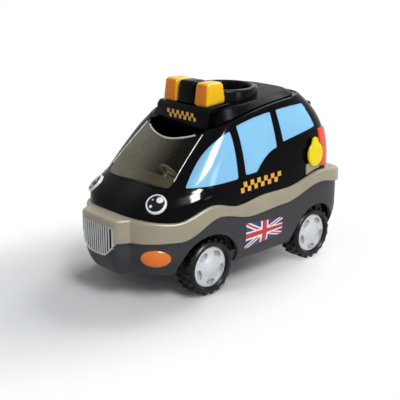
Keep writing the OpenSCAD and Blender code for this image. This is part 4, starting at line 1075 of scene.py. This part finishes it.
tyre_made, hub_made = make_tyre(), make_hub()
for axle, x in AXLES.items():
    for side, name in SIDES:
        m = [[1, 0, 0], [0, 0, side], [0, -side, 0]]
        at = (x, side * (WHEEL_SPAN / 2 - TYRE_W / 2), WHEEL_R)
        tyre = turned(copied(tyre_made, "tyre_%s_%s" % (axle, name)), m, at)
        hub = turned(copied(hub_made, "hub_%s_%s" % (axle, name)), m, at)
        dress(tyre, tyre_black, axle + "_wheels", ["%s_tyre_%s" % (axle, name)])
        dress(hub, None, axle + "_wheels", ["%s_hub_%s" % (axle, name)])
bpy.data.objects.remove(tyre_made)
bpy.data.objects.remove(hub_made)


# Flag sticker on both sills
def flag_place(u, v):
    x = 9.2 - 30.4 * u
    low, high = 21.8 + 3.2 * u, 37.6 - 2.6 * u
    z = low + (high - low) * v
    a = np.degrees(np.arctan2(HALF_W, x))
    for _ in range(12):
        a = a + np.clip((outline_p(skirt_r, a, 0)[0] - x) * 0.9, -5, 5)
    return np.stack([*outline_p(skirt_r, a, 0.12 - skirt_tuck(a, z)), z], -1)


def flag_colours(u, v):
    """Blue ground, white and red slanting bars, then the upright cross over them."""
    x, y = (u - 0.5) * 2, (v - 0.5) * 1.2
    blue, red, white = (np.array(linear(c)) for c in ("#1f2f6b", "#c4202c", "#f2f2f2"))
    col = np.tile(blue, (len(u), 1))
    slant = np.minimum(np.abs(y - 0.6 * x) / 1.166, np.abs(y + 0.6 * x) / 1.166)
    cross = np.minimum(np.abs(x), np.abs(y))
    for off, half, colour in ((slant, 0.115, white), (slant, 0.045, red),
                              (cross, 0.2, white), (cross, 0.12, red)):
        col[off < half] = colour
    return col


def make_flag():
    ob = loft("flag_left", 140, 84, flag_place)
    thicken(ob, 0.25)
    n = len(ob.data.loops)
    uv = np.empty(2 * n)
    ob.data.uv_layers[0].data.foreach_get("uv", uv)
    col = np.ones((n, 4))
    col[:, :3] = flag_colours(uv[0::2], uv[1::2])
    inks = ob.data.color_attributes.new("print", "FLOAT_COLOR", "CORNER")
    inks.data.foreach_set("color", col.ravel())
    return ob


flag = make_flag()
flag_other = other_side(flag, "flag_right")
dress(flag, flag_print, "taxi_body")
dress(flag_other, flag_print, "taxi_body")

# Finishes of the pieces that stay as built
AS_BUILT = (
    (chassis_black, ("chassis_plate", "cabin_floor", "fuel_pivot", "gearbox_left", "gearbox_right",
                     "front_bearing_left", "front_bearing_right", "rear_bearing_left",
                     "rear_bearing_right")),
    (frame_steel, ("tailgate_pin", "front_axle", "rear_axle", "flywheel", "flywheel_shaft",
                   "base_screws")),
    (gear_cream, ("axle_gear", "idler_gear")),
    (gloss_black, ("tailgate_knuckles",)),
    (dash_beige, ("dashboard",)),
    (wheel_pale, ("steering_wheel",)),
    (seat_black, ("driver_seat",)),
)
for mat, names in AS_BUILT:
    for name in names:
        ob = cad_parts[name]
        ob.data.materials.clear()
        ob.data.materials.append(mat)


# Floor, world, lamps and camera
def seen_directly(nt):
    """One where the camera looks, straight, mirrored or through glass, and else nothing."""
    path = nt.nodes.new("ShaderNodeLightPath")
    last = path.outputs["Is Camera Ray"]
    for ray in ("Is Glossy Ray", "Is Transmission Ray"):
        both = nt.nodes.new("ShaderNodeMath")
        both.operation = "MAXIMUM"
        nt.links.new(last, both.inputs[0])
        nt.links.new(path.outputs[ray], both.inputs[1])
        last = both.outputs[0]
    return last


def pale_floor():
    deselect()
    bpy.ops.mesh.primitive_plane_add(size=6)
    floor = bpy.context.object
    floor.name = "floor"
    mat = finish_of("floor_pale", "#eef0f2", 0.6, 0.01, patch=3, bump=0)
    nt = mat.node_tree
    out, b = nt.nodes["Material Output"], nt.nodes["Principled BSDF"]
    b.inputs["Specular IOR Level"].default_value = 0.1
    glow = nt.nodes.new("ShaderNodeEmission")
    glow.inputs["Strength"].default_value = 1.0
    mix = nt.nodes.new("ShaderNodeMixShader")
    part = nt.nodes.new("ShaderNodeMath")
    part.operation = "MULTIPLY"
    # Painted shadow: the white glow fades out in a pool around the car, centred ahead of it, so
    # that the floor there stays greyer and the lamps' own shadow shows in it
    squeeze = nt.nodes.new("ShaderNodeMapping")
    squeeze.inputs["Location"].default_value = (-0.03, 0.015, 0)
    squeeze.inputs["Scale"].default_value = (0.6, 1, 0)
    nt.links.new(nt.nodes["Texture Coordinate"].outputs["Object"], squeeze.inputs[0])
    away = nt.nodes.new("ShaderNodeVectorMath")
    away.operation = "LENGTH"
    nt.links.new(squeeze.outputs[0], away.inputs[0])
    shadow_fade = nt.nodes.new("ShaderNodeMapRange")
    shadow_fade.interpolation_type = "SMOOTHSTEP"
    for k, v in {"From Min": 0.045, "From Max": 0.12, "To Min": 0.0, "To Max": 1.0}.items():
        shadow_fade.inputs[k].default_value = v
    nt.links.new(away.outputs["Value"], shadow_fade.inputs["Value"])
    nt.links.new(shadow_fade.outputs["Result"], part.inputs[1])
    nt.links.new(seen_directly(nt), part.inputs[0])
    nt.links.new(part.outputs[0], mix.inputs[0])
    nt.links.new(b.outputs[0], mix.inputs[1])
    nt.links.new(glow.outputs[0], mix.inputs[2])
    nt.links.new(mix.outputs[0], out.inputs["Surface"])
    floor.data.materials.append(mat)


def white_world():
    world = bpy.data.worlds.new("studio")
    bpy.context.scene.world = world
    world.use_nodes = True
    nt = world.node_tree
    out, low = nt.nodes["World Output"], nt.nodes["Background"]
    low.inputs["Color"].default_value = (0.92, 0.96, 1.0, 1)
    low.inputs["Strength"].default_value = 0.2
    high = nt.nodes.new("ShaderNodeBackground")
    high.inputs["Color"].default_value = (1, 1, 1, 1)
    high.inputs["Strength"].default_value = 1.0
    mix = nt.nodes.new("ShaderNodeMixShader")
    nt.links.new(seen_directly(nt), mix.inputs[0])
    nt.links.new(low.outputs[0], mix.inputs[1])
    nt.links.new(high.outputs[0], mix.inputs[2])
    nt.links.new(mix.outputs[0], out.inputs["Surface"])


def softbox(name, at, aim, size, watts, tall=None):
    """An area lamp, placed and aimed in millimetres, its sides in metres."""
    data = bpy.data.lights.new(name, "AREA")
    data.energy = watts
    data.shape = "RECTANGLE"
    data.size = size
    data.size_y = tall or size
    ob = bpy.data.objects.new(name, data)
    bpy.context.scene.collection.objects.link(ob)
    d = np.asarray(aim, float) - np.asarray(at, float)
    ob.location = [v * MM for v in at]
    yaw = math.atan2(d[1], d[0])
    tilt = math.atan2(-d[2], math.hypot(d[0], d[1]))
    ob.rotation_euler = (math.pi / 2 - tilt, 0, yaw - math.pi / 2)
    return ob


pale_floor()
white_world()
KEY_AT, LOW_AIM, HIGH_AIM = (140, 400, 590), (0, 0, 50), (0, 0, 60)
softbox("key", KEY_AT, LOW_AIM, 0.2, 2.1, 0.34)
softbox("glint", KEY_AT, LOW_AIM, 0.2, 16.0, 0.34).visible_diffuse = False
# A lamp seen only in the gloss of the cabin, over the front wheel
shine = softbox("shine", (112, 480, 590), (45, 40, 59), 0.15, 60.0, 0.42)
shine.visible_diffuse = False
shine.light_linking.receiver_collection = bpy.data.collections.new("shine_on")
shine.light_linking.receiver_collection.objects.link(cabin)
softbox("side", (-120, 640, 240), HIGH_AIM, 0.14, 0.8, 0.2)
softbox("front", (640, 40, 300), LOW_AIM, 0.2, 0.2)
softbox("top", (-430, -70, 580), HIGH_AIM, 0.3, 2.4)

camera = bpy.data.objects.new("camera", bpy.data.cameras.new("camera"))
bpy.context.scene.collection.objects.link(camera)
camera.data.sensor_width = 36
camera.data.lens = 841.2 / 400 * 36
az, el, far = math.radians(137.72), math.radians(17.30), 512 * MM
aim_x, aim_z = 4.5 * MM, 40.6 * MM
camera.location = (aim_x + far * math.sin(az) * math.cos(el),
                   -far * math.cos(az) * math.cos(el),
                   aim_z + far * math.sin(el))
camera.rotation_euler = (math.pi / 2 - el, 0, az)
bpy.context.scene.camera = camera
bpy.context.scene.view_settings.view_transform = "Standard"
